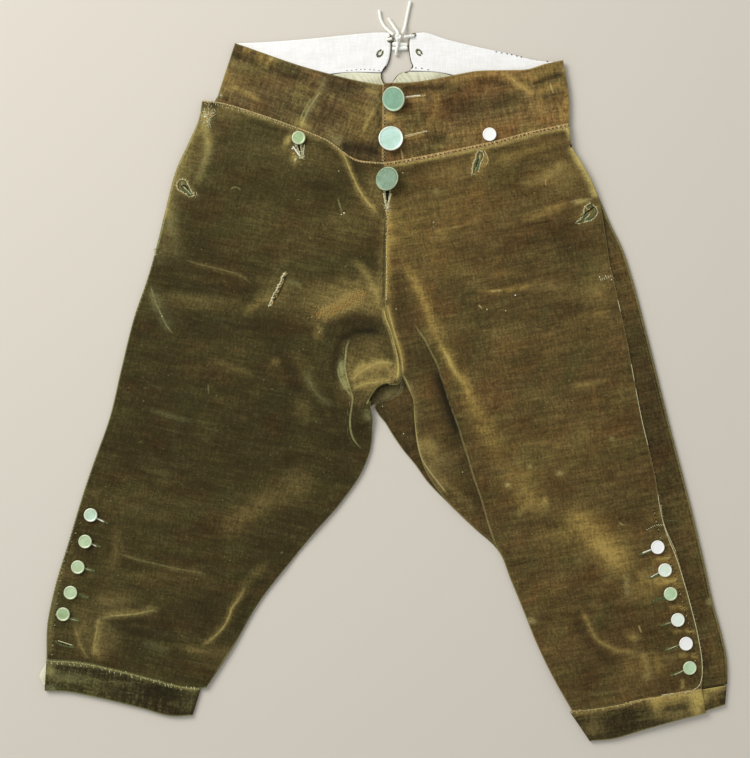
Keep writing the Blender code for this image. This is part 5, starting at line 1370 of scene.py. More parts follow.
@dataclass
class Fronts:
    """The two fronts, whose tops are the fall, seamed at the centre."""

    across: int = 112
    down: int = 330
    centre: int = 110
    crotch: int = 55
    right_crown: float = 1.2
    left_crown: float = 1.0
    seam_share: float = 0.125
    unevenness: float = 0.16

    def right(self) -> Cloth:
        """The right front between its fall edge, side, knee, inner leg, crotch and centre."""
        seam = shifted(CENTRE_SEAM, dx=-HALF_SEAM)
        cloth = Cloth(patch(
            edge((FALL_TOP_RIGHT[:-1] + seam[:1], self.across)), edge((RIGHT_KNEE_SEAM, self.across)),
            edge((RIGHT_SIDE, self.down)),
            edge(
                (seam, self.centre), (seam[-1:] + RIGHT_CROTCH, self.crotch),
                (RIGHT_CROTCH[-1:] + RIGHT_INNER_LEG, self.down - self.centre - self.crotch),
            ),
        ))
        cloth.crown(self.right_crown)
        cloth.worn_and_painted_tone(RIGHT_FRONT_MARKS, RIGHT_FRONT_STROKES, RIGHT_FRONT_STAINS, self.seam_share)
        cloth.ripple(self.unevenness, 34, -14)
        return cloth

    def left(self) -> Cloth:
        """The left front between its fall edge, centre, inner leg, knee and side."""
        seam = shifted(CENTRE_SEAM, dx=HALF_SEAM)
        cloth = Cloth(patch(
            edge((seam[:1] + FALL_TOP_LEFT[1:], self.across)), edge((LEFT_KNEE_SEAM, self.across)),
            edge((seam, self.centre), (seam[-1:] + LEFT_INNER_LEG, self.down - self.centre)),
            edge((LEFT_SIDE, self.down)),
        ))
        cloth.crown(self.left_crown)
        cloth.worn_and_painted_tone(LEFT_FRONT_MARKS, LEFT_FRONT_STROKES, LEFT_FRONT_STAINS, self.seam_share)
        cloth.ripple(self.unevenness, 36, 12)
        return cloth

    def build(self, ground: Ground) -> None:
        """Make both fronts and lay them."""
        for side, cloth, finish in (
            ("right", self.right(), RIGHT_LEG_VELVET), ("left", self.left(), LEFT_LEG_VELVET),
        ):
            under = (f"back_{side}", f"waistband_front_{side}")
            sheet = Sheet(f"front_{side}_velvet", f"front_{side}", "laid", under, rims="tflr")
            sheet.make(cloth, finish.material(), ground)


@dataclass
class Backs:
    """The two backs, flat on the table. The left one turns over at its outer edge."""

    across: int = 35
    down: int = 220
    gap: int = 20
    seat: int = 70
    curl: int = 40
    arc: int = 8
    strip: int = 16
    fold_line_sheen_and_rub: float = 0.9   # from the fold's line to the middle of its pale line, worn pile and a painted sheen

    def inner_edge(self, top: Sequence[Row], leg: Sequence[Row], **move: float) -> Array:
        """The edge from the waist down the gap, the moved centre seam, the crotch and the inner leg."""
        seat, curl = (shifted(run, **move) for run in (CENTRE_BACK, CROTCH_CURL))
        return edge(
            (top + seat[:1], self.gap), (seat, self.seat), (curl, self.curl),
            (curl[-1:] + leg, self.down - self.gap - self.seat - self.curl),
        )

    def right(self) -> Array:
        """The right back, cut to the front's outline a little inside its side seam."""
        knee = at_height(shifted(RIGHT_KNEE_SEAM, dy=2 * KNEE_CLEARANCE), TABLE)
        return patch(
            edge((shifted(RIGHT_WAIST, dy=-WAIST_CLEARANCE), self.across)),
            edge((RIGHT_BACK_OUTER[-1:] + knee[1:-1] + RIGHT_BACK_INNER[-1:], self.across)),
            edge((RIGHT_BACK_OUTER, self.down)),
            self.inner_edge(RIGHT_CENTRE_BACK_TOP, RIGHT_BACK_INNER, dx=-HALF_SEAM),
        )

    def left(self) -> Array:
        """The left back, with the strip that turns over onto the front's side."""
        knee = at_height(shifted(LEFT_KNEE_SEAM, dy=2 * KNEE_CLEARANCE), TABLE)
        under = patch(
            edge((shifted(LEFT_WAIST, dy=-WAIST_CLEARANCE), self.across)),
            edge((LEFT_BACK_INNER[-1:] + knee[1:-1] + LEFT_BACK_FOLD[-1:], self.across)),
            self.inner_edge(LEFT_CENTRE_BACK_TOP, LEFT_BACK_INNER, dx=HALF_SEAM, dy=-HALF_SEAM),
            edge((LEFT_BACK_FOLD, self.down)),
        )
        strip = edge((LEFT_BACK_STRIP, self.down))
        turn = half_turn(under[:, -1], under[:, -1, :2] - strip[:, :2], 1, self.arc)
        return np.concatenate([under, turn, straight_run(turn[:, -1], strip, self.strip)], axis=1)

    def build(self, ground: Ground) -> None:
        """Make both backs and lay them."""
        velvet = BACK_VELVET.material()
        fold = [(x + self.fold_line_sheen_and_rub, y) for x, y, _ in LEFT_BACK_FOLD[2:]]
        for side, points, held, strokes, stains in (
            ("right", self.right(), "laid", CURL_STROKES, RIGHT_BACK_STAINS),
            ("left", self.left(), "folded", ((fold, 0.62, 0, 0, 0.04),), STRIP_STAINS),
        ):
            cloth = Cloth(points)
            cloth.worn_and_painted_tone(BACK_MARKS, strokes, stains)
            sheet = Sheet(f"back_{side}_velvet", f"back_{side}", held, ("table_top",), rims="lr")
            sheet.make(cloth, velvet, ground)


@dataclass
class FrontWaistband:
    """The deep front waistband. Its left half laps over the right at the centre."""

    across: int = 140
    down: int = 60
    seam_share: float = 0.1
    unevenness: float = 0.08

    def build(self, ground: Ground) -> None:
        """Make both halves and lay them."""
        size = self.across, self.down
        right = panel(*size, FRONT_BAND_RIGHT_TOP, FRONT_BAND_RIGHT_FOOT, left=FRONT_BAND_RIGHT_SIDE)
        left = panel(*size, FRONT_BAND_LEFT_TOP, FRONT_BAND_LEFT_FOOT, right=FRONT_BAND_LEFT_SIDE)
        for side, points, finish, rims, worn in (
            ("right", right, BAND_VELVET, "tl", (RIGHT_BAND_MARKS, RIGHT_BAND_STROKES, RIGHT_BAND_STAINS)),
            ("left", left, LEFT_BAND_VELVET, "tlr", (LEFT_BAND_MARKS, LEFT_BAND_STROKES, LEFT_BAND_STAINS)),
        ):
            cloth = Cloth(points)
            cloth.worn_and_painted_tone(*worn, self.seam_share)
            cloth.ripple(self.unevenness, 30, 8)
            under = (f"back_{side}", f"waistband_lining_{side}")
            sheet = Sheet(f"front_band_{side}_velvet", f"waistband_front_{side}", "laid", under, rims=rims)
            sheet.make(cloth, finish.material(), ground)


@dataclass
class BackWaistband:
    """The back waistband, laced at the gap, with its white lining turned to the eye."""

    across: int = 84
    down: int = 30
    inset: float = 0.8     # from the band's laced end to its lining
    seam_share: float = 0.05

    def build(self, ground: Ground) -> None:
        """Make the velvet bands and their linings, and lay the linings.

        A lining is drawn back from the gap by the inset times the share of the way to it,
        to the power of 8.
        """
        velvet, linen = BACK_VELVET.material(), BAND_LINING.material()
        size, u = (self.across, self.down), np.linspace(0, 1, self.across + 1)[None]
        right = panel(*size, BACK_BAND_RIGHT_TOP, RIGHT_WAIST, right=BACK_BAND_RIGHT_END)
        left = panel(*size, BACK_BAND_LEFT_TOP, LEFT_WAIST, left=BACK_BAND_LEFT_END)
        for side, band, back in (
            ("right", right, -self.inset * u ** 8), ("left", left, self.inset * (1 - u) ** 8),
        ):
            sheet = Sheet(f"back_band_{side}_velvet", f"waistband_back_{side}", "laid", ("table_top",))
            sheet.make(Cloth(band), velvet, None)
            lining = Cloth(band.copy())
            lining.points[..., 0] += back
            lining.points[..., 2] = LINING
            lining.worn_and_painted_tone(BAND_LINING_MARKS, seam_share=self.seam_share)
            names = f"back_band_{side}_lining", f"waistband_lining_{side}"
            sheet = Sheet(*names, "laid", (f"waistband_back_{side}",), "linen", LINEN_WALL)
            sheet.make(lining, linen, ground)


@dataclass
class SeatLining:
    """The seat's pale lining, gathered to the waist seam beside the gap."""

    across: int = 72
    down: int = 30
    gather_depth: float = 0.34
    gather_pitch: float = 5.2
    wall: float = LINEN_WALL * 0.8

    def halves(self) -> tuple[Array, Array]:
        """Both linings, from the waist seam down beside the gap."""
        size = self.across, self.down
        right_top = (RIGHT_LINING_END,) + at_height(RIGHT_WAIST[-2:], LINING)
        left_top = at_height(LEFT_WAIST[:2], LINING) + (LEFT_LINING_END,)
        right_foot = (RIGHT_LINING_END[0], SEAT_LINING_FOOT, LINING)
        left_foot = (LEFT_LINING_END[0], SEAT_LINING_FOOT, LINING)
        right_gap = at_height(RIGHT_CENTRE_BACK_TOP, LINING) + (RIGHT_LINING_CORNER,)
        left_gap = at_height(LEFT_CENTRE_BACK_TOP, LINING) + (LEFT_LINING_CORNER,)
        return (
            panel(*size, right_top, (right_foot, RIGHT_LINING_CORNER), right=right_gap),
            panel(*size, left_top, (LEFT_LINING_CORNER, left_foot), left=left_gap),
        )

    def gather(self, cloth: Cloth) -> None:
        """Lay gathers down from the waist: uneven sine pleats that flatten towards the foot, shade painted in
        their troughs.
        """
        x, y = cloth.points[..., 0], cloth.points[..., 1]
        v = np.linspace(0, 1, len(cloth.points))[:, None]
        slant = x + 0.5 * (y - 340) + 3.4 * np.sin(x / 9.0) + 1.6 * np.sin(y / 4.0 + x / 6.0)
        wave = np.sin(2 * math.pi * slant / self.gather_pitch)
        depth = self.gather_depth * (0.7 + 0.3 * np.sin(x / 5.3))
        depth = depth * np.sin(math.pi * np.clip(v * 2, 0.12, 1) / 2)
        cloth.points[..., 2] += depth * (wave * 0.7 + 0.3)
        # Painted shade in the gathers' troughs, strongest near the waist.
        cloth.tone[..., 2] += 0.42 * np.clip(-wave, 0, 1) * np.sin(math.pi * np.clip(v * 3, 0, 1) / 2)

    def build(self, ground: Ground) -> None:
        """Make both linings and lay them."""
        cotton = SEAT_LINING.material()
        for side, points in zip(("right", "left"), self.halves()):
            cloth = Cloth(points)
            self.gather(cloth)
            names = f"seat_lining_{side}_cotton", f"seat_lining_{side}"
            sheet = Sheet(*names, "gathered", (f"back_{side}",), "cream_lining", self.wall)
            sheet.make(cloth, cotton, None)
            ground.lay(cloth, LINEN_WALL)


@dataclass
class Kneebands:
    """The kneebands, each one flattened ring of cloth, and the right one's lining end."""

    across: int = 90
    down: int = 22
    arc: int = 8
    underlap: int = 20
    tip_across: int = 12
    tip_down: int = 18

    def right(self) -> Array:
        """The right band: its front run, a turn under at the inner side, and its back run."""
        top = shifted(RIGHT_KNEE_SEAM[:-1], dy=-KNEE_CLEARANCE)
        front = panel(self.across, self.down, top, RIGHT_BAND_FOOT)
        turn = half_turn(front[:, -1], front[:, -1, :2] - front[:, -2, :2], -1, self.arc)
        back = front[:, -2::-1].copy()
        back[..., 2] = TABLE
        return np.concatenate([front, turn, back], axis=1)

    def left(self) -> Array:
        """The left band: underlap, turn, back run, turn at the inner side, and front run."""
        top = shifted(LEFT_KNEE_SEAM, dy=-KNEE_CLEARANCE)
        front = panel(self.across, self.down, top, LEFT_BAND_FOOT)
        start = edge(((LEFT_UNDERLAP_TOP[0], LEFT_UNDERLAP_FOOT[0]), self.down))
        outer = edge(((LEFT_UNDERLAP_TOP[1], LEFT_UNDERLAP_FOOT[1]), self.down))
        outer_turn = half_turn(outer, outer[:, :2] - start[:, :2], -1, self.arc)
        under = front[:, -2::-1].copy()
        under[..., 1] += 2 * KNEE_CLEARANCE
        under[:, -1] = front[:, 0]
        under[..., 2] = TABLE
        inner_turn = half_turn(under[:, -1], under[:, -1, :2] - under[:, -2, :2], 1, self.arc)
        lap = straight_run(start, outer, self.underlap)
        return np.concatenate([start[:, None], lap, outer_turn, under, inner_turn, front[:, 1:]], axis=1)

    def build(self, ground: Ground) -> None:
        """Make both bands and lay them, and make the lining end that peeps out at the side."""
        for side, points, finish, marks, stains in (
            ("right", self.right(), RIGHT_KNEEBAND_VELVET, RIGHT_KNEEBAND_MARKS, RIGHT_KNEEBAND_STAINS),
            ("left", self.left(), LEFT_KNEEBAND_VELVET, LEFT_KNEEBAND_MARKS, LEFT_KNEEBAND_STAINS),
        ):
            cloth = Cloth(points)
            cloth.worn_and_painted_tone(marks, (), stains)
            names = f"kneeband_{side}_velvet", f"kneeband_{side}"
            sheet = Sheet(*names, "folded", (f"back_{side}",), rims="tf")
            sheet.make(cloth, finish.material(), ground)
        side = KNEEBAND_TIP_TOP[:1] + KNEEBAND_TIP_FOOT[:2]
        tip = panel(self.tip_across, self.tip_down, KNEEBAND_TIP_TOP, KNEEBAND_TIP_FOOT[1:], left=side)
        names = "kneeband_right_lining", "kneeband_lining_right"
        sheet = Sheet(*names, "laid", ("kneeband_right",), "cream_lining", LINEN_WALL)
        sheet.make(Cloth(tip), SEAT_LINING.material(), None)


@dataclass(frozen=True)
class ButtonSize:
    """A turned button: its diameters, rim thickness, dish depth and shank length."""

    diameter: float
    rim: float
    dish: float
    shank_diameter: float
    shank_length: float


@dataclass
class Buttons:
    """All the flat metal buttons, turned about their own axes and leaning as worn."""

    large: ButtonSize = ButtonSize(27.0, 1.8, 0.5, 6.0, 4.4)
    small: ButtonSize = ButtonSize(15.0, 1.6, 0.4, 5.0, 2.0)
    sides: int = 56
    lip: float = 0.9          # the half round edge's radius
    dish_edge: float = 2.0    # from the dish to the button's edge
    lip_edge: float = 2.2     # from where the lip's bright colour, worn metal and a painted highlight, starts to the button's edge
    lip_wear: float = 0.9     # the width over which the lip's bright colour grows
    sharp_angle: float = 50.0

    def profile(self, size: ButtonSize) -> Array:
        """Work out the section from the face's middle, over the lip, down to the shank's foot.

        The face is a shallow dish, radius to the power of 4, and the lip is a half round.

        Args:
            size: the button's sizes.

        Returns:
            Rows of radius and height.
        """
        radius, face = size.diameter / 2, size.shank_length + size.rim
        r = np.linspace(0.0, radius - self.dish_edge, 9)
        dish = np.stack([r, face - size.dish + 0.12 * (r / radius) ** 4], axis=1)
        turn = np.linspace(math.pi * 0.75, -math.pi / 2, 11)
        around = np.stack([np.cos(turn), np.sin(turn)], axis=1)
        rounded = np.array([radius - self.lip, face - self.lip]) + self.lip * around
        shank = size.shank_diameter / 2
        back = np.array([
            (radius - self.lip_edge, size.shank_length), (shank + 0.6, size.shank_length),
            (shank, size.shank_length - 0.6), (shank, 0.0), (0.0, 0.0),
        ])
        return np.concatenate([dish, rounded, back])

    def lip_share(self, size: ButtonSize) -> Array:
        """How much each vertex belongs to the bright lip, worn and a painted highlight, from 0 at its inner
        edge to 1.
        """
        inside = self.profile(size)[1:-1, 0] - size.diameter / 2
        share = np.clip((inside + self.lip_edge) / self.lip_wear, 0, 1)
        return np.pad(np.repeat(share, self.sides), (0, 2))

    def turned(self, spot: Spot, size: ButtonSize) -> tuple[Array, list]:
        """Turn the profile about Z, lean it, and set it where its CAD node stands.

        The lean turns each point about a level axis: p cos a + (axis x p) sin a + axis (axis . p)
        (1 - cos a).

        Args:
            spot: its place and lean.
            size: its sizes.

        Returns:
            The points and the faces.
        """
        profile = self.profile(size)[1:-1]
        turn = np.linspace(0, 2 * math.pi, self.sides, endpoint=False)
        ring = np.stack([
            profile[:, None, 0] * np.cos(turn), profile[:, None, 0] * np.sin(turn),
            np.broadcast_to(profile[:, None, 1], (len(profile), self.sides)),
        ], axis=-1)
        points = np.concatenate([ring.reshape(-1, 3), [(0, 0, self.profile(size)[0, 1]), (0, 0, 0)]])
        lean, towards = math.radians(spot.tilt), math.radians(spot.towards)
        axis = np.array([-math.sin(towards), math.cos(towards), 0.0])
        points = (
            points * math.cos(lean) + np.cross(axis, points) * math.sin(lean)
            + np.outer(points @ axis, axis) * (1 - math.cos(lean))
        )
        lift = math.sin(lean) * size.shank_diameter / 2
        drop = max(0.0, math.sin(lean) * size.diameter / 2 - size.shank_length * math.cos(lean))
        points += (spot.x, spot.y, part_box(spot.name)[0][2] / MM + max(lift, drop))
        last, top, foot = (len(profile) - 1) * self.sides, len(points) - 2, len(points) - 1
        pairs = [(k, (k + 1) % self.sides) for k in range(self.sides)]
        caps = [(top, a, b) for a, b in pairs] + [(foot, last + b, last + a) for a, b in pairs]
        return points, grid_faces(len(profile), self.sides, closed=True).tolist() + caps

    def build(self) -> None:
        """Make every button."""
        made: dict[ButtonLitTone, Material] = {}
        for spots, size in ((LARGE_BUTTONS, self.large), (SMALL_BUTTONS, self.small)):
            for spot in spots:
                if spot.tone not in made:
                    made[spot.tone] = spot.tone.value.material()
                item = new_mesh(f"{spot.name}_metal", *self.turned(spot, size), made[spot.tone])
                item.data.set_sharp_from_angle(angle=math.radians(self.sharp_angle))
                attribute(item, "lip", self.lip_share(size)[:, None])
                ride(item, "pale_metal", spot.name)


# --- Handwork ---

@dataclass(frozen=True)
class Hole:
    """A worked hole: its two ends, how far it gapes, its thread, its edge's width and its fray."""

    x0: float
    y0: float
    x1: float
    y1: float
    gape: float
    thread: Thread
    width: float
    fray: int = 0
    buttoned: bool = True


@dataclass(frozen=True)
class WornHole:
    """A hole worn open: its two lips from the tail to the head, its slit and a loose edge by it."""

    left: tuple[Place, ...]
    right: tuple[Place, ...]
    slit: tuple[Place, ...]
    loose: tuple[Place, ...]


HOLES = (
    (24, 316.4, 46, 319, 0.7, GOLD, 1.1, 1), (22, 272.5, 46, 279.5, 0.7, GOLD, 1.0, 2),
    (4.2, 215, 4, 200, 5.2, PALE, 1.4, 2), (-93.4, 266, -89.4, 250.5, 3.6, PALE, 2.4, 3),
    (-316, -144, -303, -150, 1.2, OLIVE, 1.0), (-322, -172, -311, -176, 1.2, OLIVE, 1.0),
    (-330, -199, -317, -203, 1.8, OLIVE, 1.4), (-338, -228, -324, -232, 1.5, OLIVE, 1.4, 1),
    (-346, -254.5, -334, -257, 1.5, OLIVE, 1.4), (-360, -280, -340, -286, 2.2, OLIVE, 1.1, 2, False),
    (296, -179, 281, -184, 1.4, OLIVE, 1.0), (304, -205, 291, -210, 1.4, OLIVE, 1.0),
    (309, -231, 296, -235, 1.5, OLIVE, 1.2), (317, -258, 304, -262, 1.5, OLIVE, 1.2),
    (326, -284, 309, -289, 1.6, OLIVE, 1.1), (330, -311.5, 315, -317, 1.5, OLIVE, 1.1),
)
WORN_HOLES = (
    WornHole(
        ((97.6, 233.4), (97.8, 240), (99, 245.6), (101.4, 250), (101.6, 254), (104.4, 257.6)),
        ((103, 234.6), (105, 240), (106.2, 245), (108.6, 249.6), (109.6, 254), (107.6, 257.4), (104.4, 258)),
        ((101, 240.6), (102.2, 245), (104.2, 249.6)),
        ((110.6, 258.4), (113.2, 253), (114.6, 247), (112.6, 242.6)),
    ),
    WornHole(
        (
            (-206.6, 209.8), (-212, 208.6), (-217, 211.6), (-220.4, 213.4), (-223.6, 215), (-226.2, 218.4),
            (-226.2, 223.2), (-223.4, 226.6),
        ),
        ((-208.6, 211.4), (-210.2, 213), (-212.8, 218), (-215.4, 223.2), (-218.6, 227), (-223, 226.8)),
        ((-214.6, 216.6), (-217.2, 220), (-220.6, 221), (-221.4, 218.4)),
        ((-209.6, 211.8), (-208, 210.4), (-206.4, 209.8)),
    ),
    WornHole(
        ((212.2, 180.4), (216, 183.4), (219.4, 188.6), (220.2, 194.6), (223, 199), (227, 200.6)),
        (
            (213.6, 178.4), (219.6, 180.4), (226.2, 182), (230.6, 184.6), (234, 189.8), (233.4, 195.4),
            (229.6, 198.6),
        ),
        ((217, 186), (220.4, 189.4), (224, 192), (230, 196.6)),
        ((222, 196.4), (224.4, 193.6), (226.2, 195)),
    ),
)
# Torn strands, and pale lines along the knee buttonholes' slits that are painted highlights. Columns:
# thread, radius, start, end.
STRANDS_AND_SLIT_HIGHLIGHTS = (
    (WHITE, 0.8, (-317, -143.5), (-307, -148.5)), (WHITE, 0.62, (-322, -172), (-315, -175.5)),
    (WHITE, 0.8, (294, -178.5), (284, -182.5)), (WHITE, 0.5, (302, -204), (293, -209)),
    (PALE, 0.4, (-330, -199), (-321, -202)), (PALE, 0.4, (-346, -254), (-336, -257)),
    (PALE, 0.4, (316, -258), (309, -260.5)), (PALE, 0.45, (325, -283), (312, -288)),
    (PALE, 0.5, (329, -311), (319, -316)), (PALE, 0.5, (-357, -279), (-341, -284)),
    (WHITE, 0.9, (-99.2, 263), (-91.4, 252)), (PALE, 0.6, (-86.6, 265), (-88, 253)),
    (WHITE, 0.6, (24.5, 317.6), (41, 319.2)), (PALE, 0.5, (22.5, 274.4), (46, 279.8)),
    (PALE, 1.0, (0.1, 212), (2.2, 200)), (PALE, 1.1, (8.2, 212), (5.6, 201)),
    (PALE, 1.0, (2.2, 201), (3.8, 193)), (PALE, 0.9, (5.6, 202), (4.4, 194)),
    (GOLD, 0.8, (3.0, 194), (3.6, 187)),
)
# Lint. Columns: thread, size, x, y.
DOTS = (
    (PALE, 3.6, -96.2, 248.2), (WHITE, 2.2, -99.8, 260.6), (AMBER, 3.0, -98.2, 255), (WHITE, 2.2, 26, 317.2),
    (WHITE, 1.8, 47.2, 279.7), (PALE, 2.6, -43, 190), (PALE, 1.8, -46, 188.6), (PALE, 1.6, -49, 236),
    (WHITE, 2.0, 144.5, 100), (PALE, 1.7, 120, 104), (PALE, 1.7, 134, 83), (PALE, 1.5, 127, 104.6),
    (PALE, 1.8, 55, 180), (PALE, 1.5, 55, 175), (PALE, 1.5, 21, 234), (WHITE, 2.4, -195.6, 296),
    (WHITE, 1.8, -193, 290), (WHITE, 1.6, -196.6, 301), (WHITE, 1.6, -178.4, 319.6), (PALE, 1.7, 22, -52),
    (PALE, 1.7, 14, 85), (PALE, 1.4, -1, -22), (PALE, 1.6, 87, -94), (PALE, 2.4, 5.2, 197),
    (PALE, 2.6, 3.6, 193), (PALE, 1.8, 4.2, 189), (PALE, 1.5, 3.0, 178), (AMBER, 2.4, 4.6, 171),
    (PALE, 2.0, 113.5, 84.6), (WHITE, 1.7, 237, 120), (WHITE, 1.5, 243.5, 121), (PALE, 1.9, 250, 117),
    (PALE, 2.0, -124, 89), (WHITE, 2.4, -109, 123.4), (WHITE, 2.4, -121.6, 97.6), (PALE, 1.6, -243, 77),
    (PALE, 1.4, -70, 60),
)
# Columns: x, y, half length, half width, turn.
EYELETS = ((8, 381, 4.4, 3.4, 0), (33, 386, 3.2, 2.2, 20), (-4, 366, 5.0, 3.4, 52), (39, 367, 4.6, 3.0, -48))
RIGHT_PLACKET = ((-333, -150), (-350, -190), (-357, -230), (-361, -262), (-364, -296))
LEFT_PLACKET = (
    (296, -132), (300, -152), (306, -172), (314, -192), (322, -216), (329, -241), (336, -266),
    (341, -290), (342, -318),
)
LEFT_PLACKET_EDGE = (
    (304, -130), (307, -150), (313, -168), (320, -185), (329, -213), (338, -245), (345, -274),
    (349.5, -308), (349, -319), (346, -328), (339, -333), (325, -335.4), (305, -338.5),
)
TEAR = (
    (-108, 125), (-111, 121), (-112.5, 115), (-115, 110.5), (-117.5, 105), (-121.5, 99), (-123, 95),
    (-125, 89),
)


def flat(points: Sequence[Row], dx: float = 0.0, dy: float = 0.0) -> tuple[Place, ...]:
    """The same edge seen from above, moved."""
    return tuple((point[0] + dx, point[1] + dy) for point in points)


class Handwork:
    """Every sewn, worked or frayed thread, gathered by kind and made as one mesh for each."""

    RADIUS = 0.3         # of a thread
    FRAY_RADIUS = 0.27   # of a loose strand
    CLOSE = 0.62         # from stitch to stitch along a buttonhole
    SEED = 18
    TEAR_SEED = 5

    def __init__(self, ground: Ground) -> None:
        """Start with no threads, over the cloth they lie on."""
        self.ground = ground
        self.batches: dict[Thread, list[tuple[Array, Array | float]]] = {kind: [] for kind in Thread}
        self.random = np.random.default_rng(self.SEED)

    def sew(self, thread: Thread, paths: Array, radius: Array | float = RADIUS) -> None:
        """Keep a batch of threads, n paths of k points."""
        self.batches[thread].append((np.asarray(paths, dtype=float), radius))

    def strand(self, thread: Thread, xy: Array, lift: float, radius: Array | float) -> None:
        """Keep one thread, which lies on the cloth at some places, lifted."""
        self.sew(thread, self.ground.on(xy, lift)[None], radius)

    def frame_of(self, line: Sequence[Place], step: float, unevenness: float) -> tuple[Array, Array, Array]:
        """Places along a line, with the run and the right-hand side at each."""
        fine = curve_by_step(line, 0.5)
        count = max(3, round(len(fine) * 0.5 / step))
        marks = np.linspace(0, len(fine) - 1, count)
        marks = marks + self.random.normal(0, unevenness * step / 0.5, count)
        near = np.clip(marks.round().astype(int), 0, len(fine) - 1)
        run = np.gradient(fine, axis=0)[near]
        run /= np.linalg.norm(run, axis=1, keepdims=True)
        return fine[near], run, np.stack([run[:, 1], -run[:, 0]], axis=1)

    def lay(self, thread: Thread, line: Sequence[Place], radius: float, lift: float = 0.1) -> None:
        """One thread laid along a line on the cloth."""
        self.strand(thread, curve_by_step(line, 1.6), lift, radius)

    def overcast(
        self, thread: Thread, line: Sequence[Place], spacing: float, inside: float, radius: float = RADIUS,
        lean: float = 0.7, uneven: float = 0.12,
    ) -> None:
        """Short stitches over an edge.

        Each runs from its place inside the edge, up over the cloth and down the cut side.

        Args:
            thread: its kind.
            line: the edge.
            spacing: between stitches.
            inside: from the edge, on the right of the line's run if over 0.
            radius: of the thread.
            lean: how far the inner end lies ahead.
            uneven: spread of spacing and reach, as a share.
        """
        base, run, side = self.frame_of(line, spacing, uneven)
        reach = inside * (1 + self.random.normal(0, uneven * 1.4, len(base)))[:, None]
        way = side * np.sign(inside)
        inner = side * reach + run * lean
        on = self.ground.on(np.stack([base + inner, base + inner / 2, base + way * 0.5], axis=1))
        on[..., 2] += np.array([-0.15, 0.22, 0.2])
        over = on[:, 2] - np.concatenate([way * 0.9, np.full((len(base), 1), 1.3)], axis=1)
        self.sew(thread, np.concatenate([on, over[:, None]], axis=1), radius)

    def dot(self, thread: Thread, size: float, x: float, y: float) -> None:
        """A small blob of lint or a thread's end, size across and lying on the cloth."""
        way = self.random.uniform(0, 2 * math.pi)
        steps = np.linspace(-0.5, 0.5, 5)[:, None] * size * np.array([math.cos(way), math.sin(way)])
        self.strand(thread, np.array([x, y]) + steps, 0.1, np.array([[0.12, 0.36, 0.42, 0.36, 0.12]]) * size)

    def running(
        self, thread: Thread, line: Sequence[Place], spacing: float, length: float, radius: float = RADIUS,
        lift: float = 0.08, uneven: float = 0.08, turn: float = 0.0,
    ) -> None:
        """A row of stitches along a line, each a low arch, turned from the line by some degrees."""
        base, run, side = self.frame_of(line, spacing, uneven)
        way = run * math.cos(math.radians(turn)) + side * math.sin(math.radians(turn))
        size = length * (1 + self.random.normal(0, uneven, len(base)))[:, None]
        xy = np.stack([base + way * size * share for share in (-0.5, -0.2, 0.2, 0.5)], axis=1)
        paths = self.ground.on(xy)
        paths[..., 2] += np.array([-0.2, lift, lift, -0.2])
        self.sew(thread, paths, radius)

    def fray(self, thread: Thread, x: float, y: float, count: int, length: float, scatter: float) -> None:
        """Loose strands round a place, each a short curl that rises and falls."""
        if not count:
            return
        way = self.random.uniform(0, 2 * math.pi, count)
        bend = self.random.normal(0, 0.9, count)
        size = length * self.random.uniform(0.5, 1.3, count)
        start = np.array([x, y]) + self.random.normal(0, scatter, (count, 2))
        share = np.linspace(0, 1, 6)
        angle = way[:, None] + bend[:, None] * share
        steps = np.stack([np.cos(angle), np.sin(angle)], axis=-1) * (size / 5)[:, None, None]
        paths = self.ground.on(start[:, None] + np.cumsum(steps, axis=1))
        paths[..., 2] += 0.1 + 0.5 * np.sin(math.pi * share)
        self.sew(thread, paths, self.FRAY_RADIUS)

    def work(self, hole: Hole) -> None:
        """A buttonhole: close stitches square to the slit, a cord along each lip, and a dark strand in the
        gap as painted shade.

        The gap's half width is half the gape times the root of sin(pi s) along the slit, or
        times the root of 1 - s where a button holds one end open.

        Args:
            hole: its ends, gape, thread and wear.
        """
        start, end = np.array([hole.x0, hole.y0]), np.array([hole.x1, hole.y1])
        length = float(np.linalg.norm(end - start))
        run = (end - start) / length
        side = np.array([run[1], -run[0]])
        share = np.linspace(0, 1, max(6, round(length / self.CLOSE)))
        opening = 1 - share if hole.buttoned else np.sin(math.pi * share)
        half = hole.gape / 2 * np.sqrt(np.clip(opening, 0.04, 1))
        middle = start + (end - start) * share[:, None]
        for way in (-1, 1):
            jitter = self.random.normal(0, 0.06 + 0.16 * hole.width, len(share))
            inner = middle + side * (way * half)[:, None]
            outer = middle + side * (way * (half + hole.width + jitter))[:, None] + run * jitter[:, None]
            paths = self.ground.on(np.stack([inner, (inner + outer) / 2, outer], axis=1))
            paths[..., 2] += np.array([0.2, 0.3, -0.1])
            radii = self.random.uniform(0.22, 0.5, (len(share), 1))
            dull = np.arange(len(share)) % 3 == 1
            self.sew(OLIVE, paths[dull], radii[dull])
            self.sew(hole.thread, paths[~dull], radii[~dull])
            self.strand(hole.thread, inner, 0.35, 0.42)
        bar = np.stack([end - side * hole.width, end + run * 0.4, end + side * hole.width])
        self.strand(hole.thread, bar, 0.3, 0.45)
        # A dark strand in the gap: painted shade.
        self.strand(DARK, middle, -0.15 * hole.gape, np.maximum(half, 0.3)[None])
        for place in (start, (start + end) / 2, end):
            self.fray(hole.thread, *place, hole.fray, 3.0, 0.9)

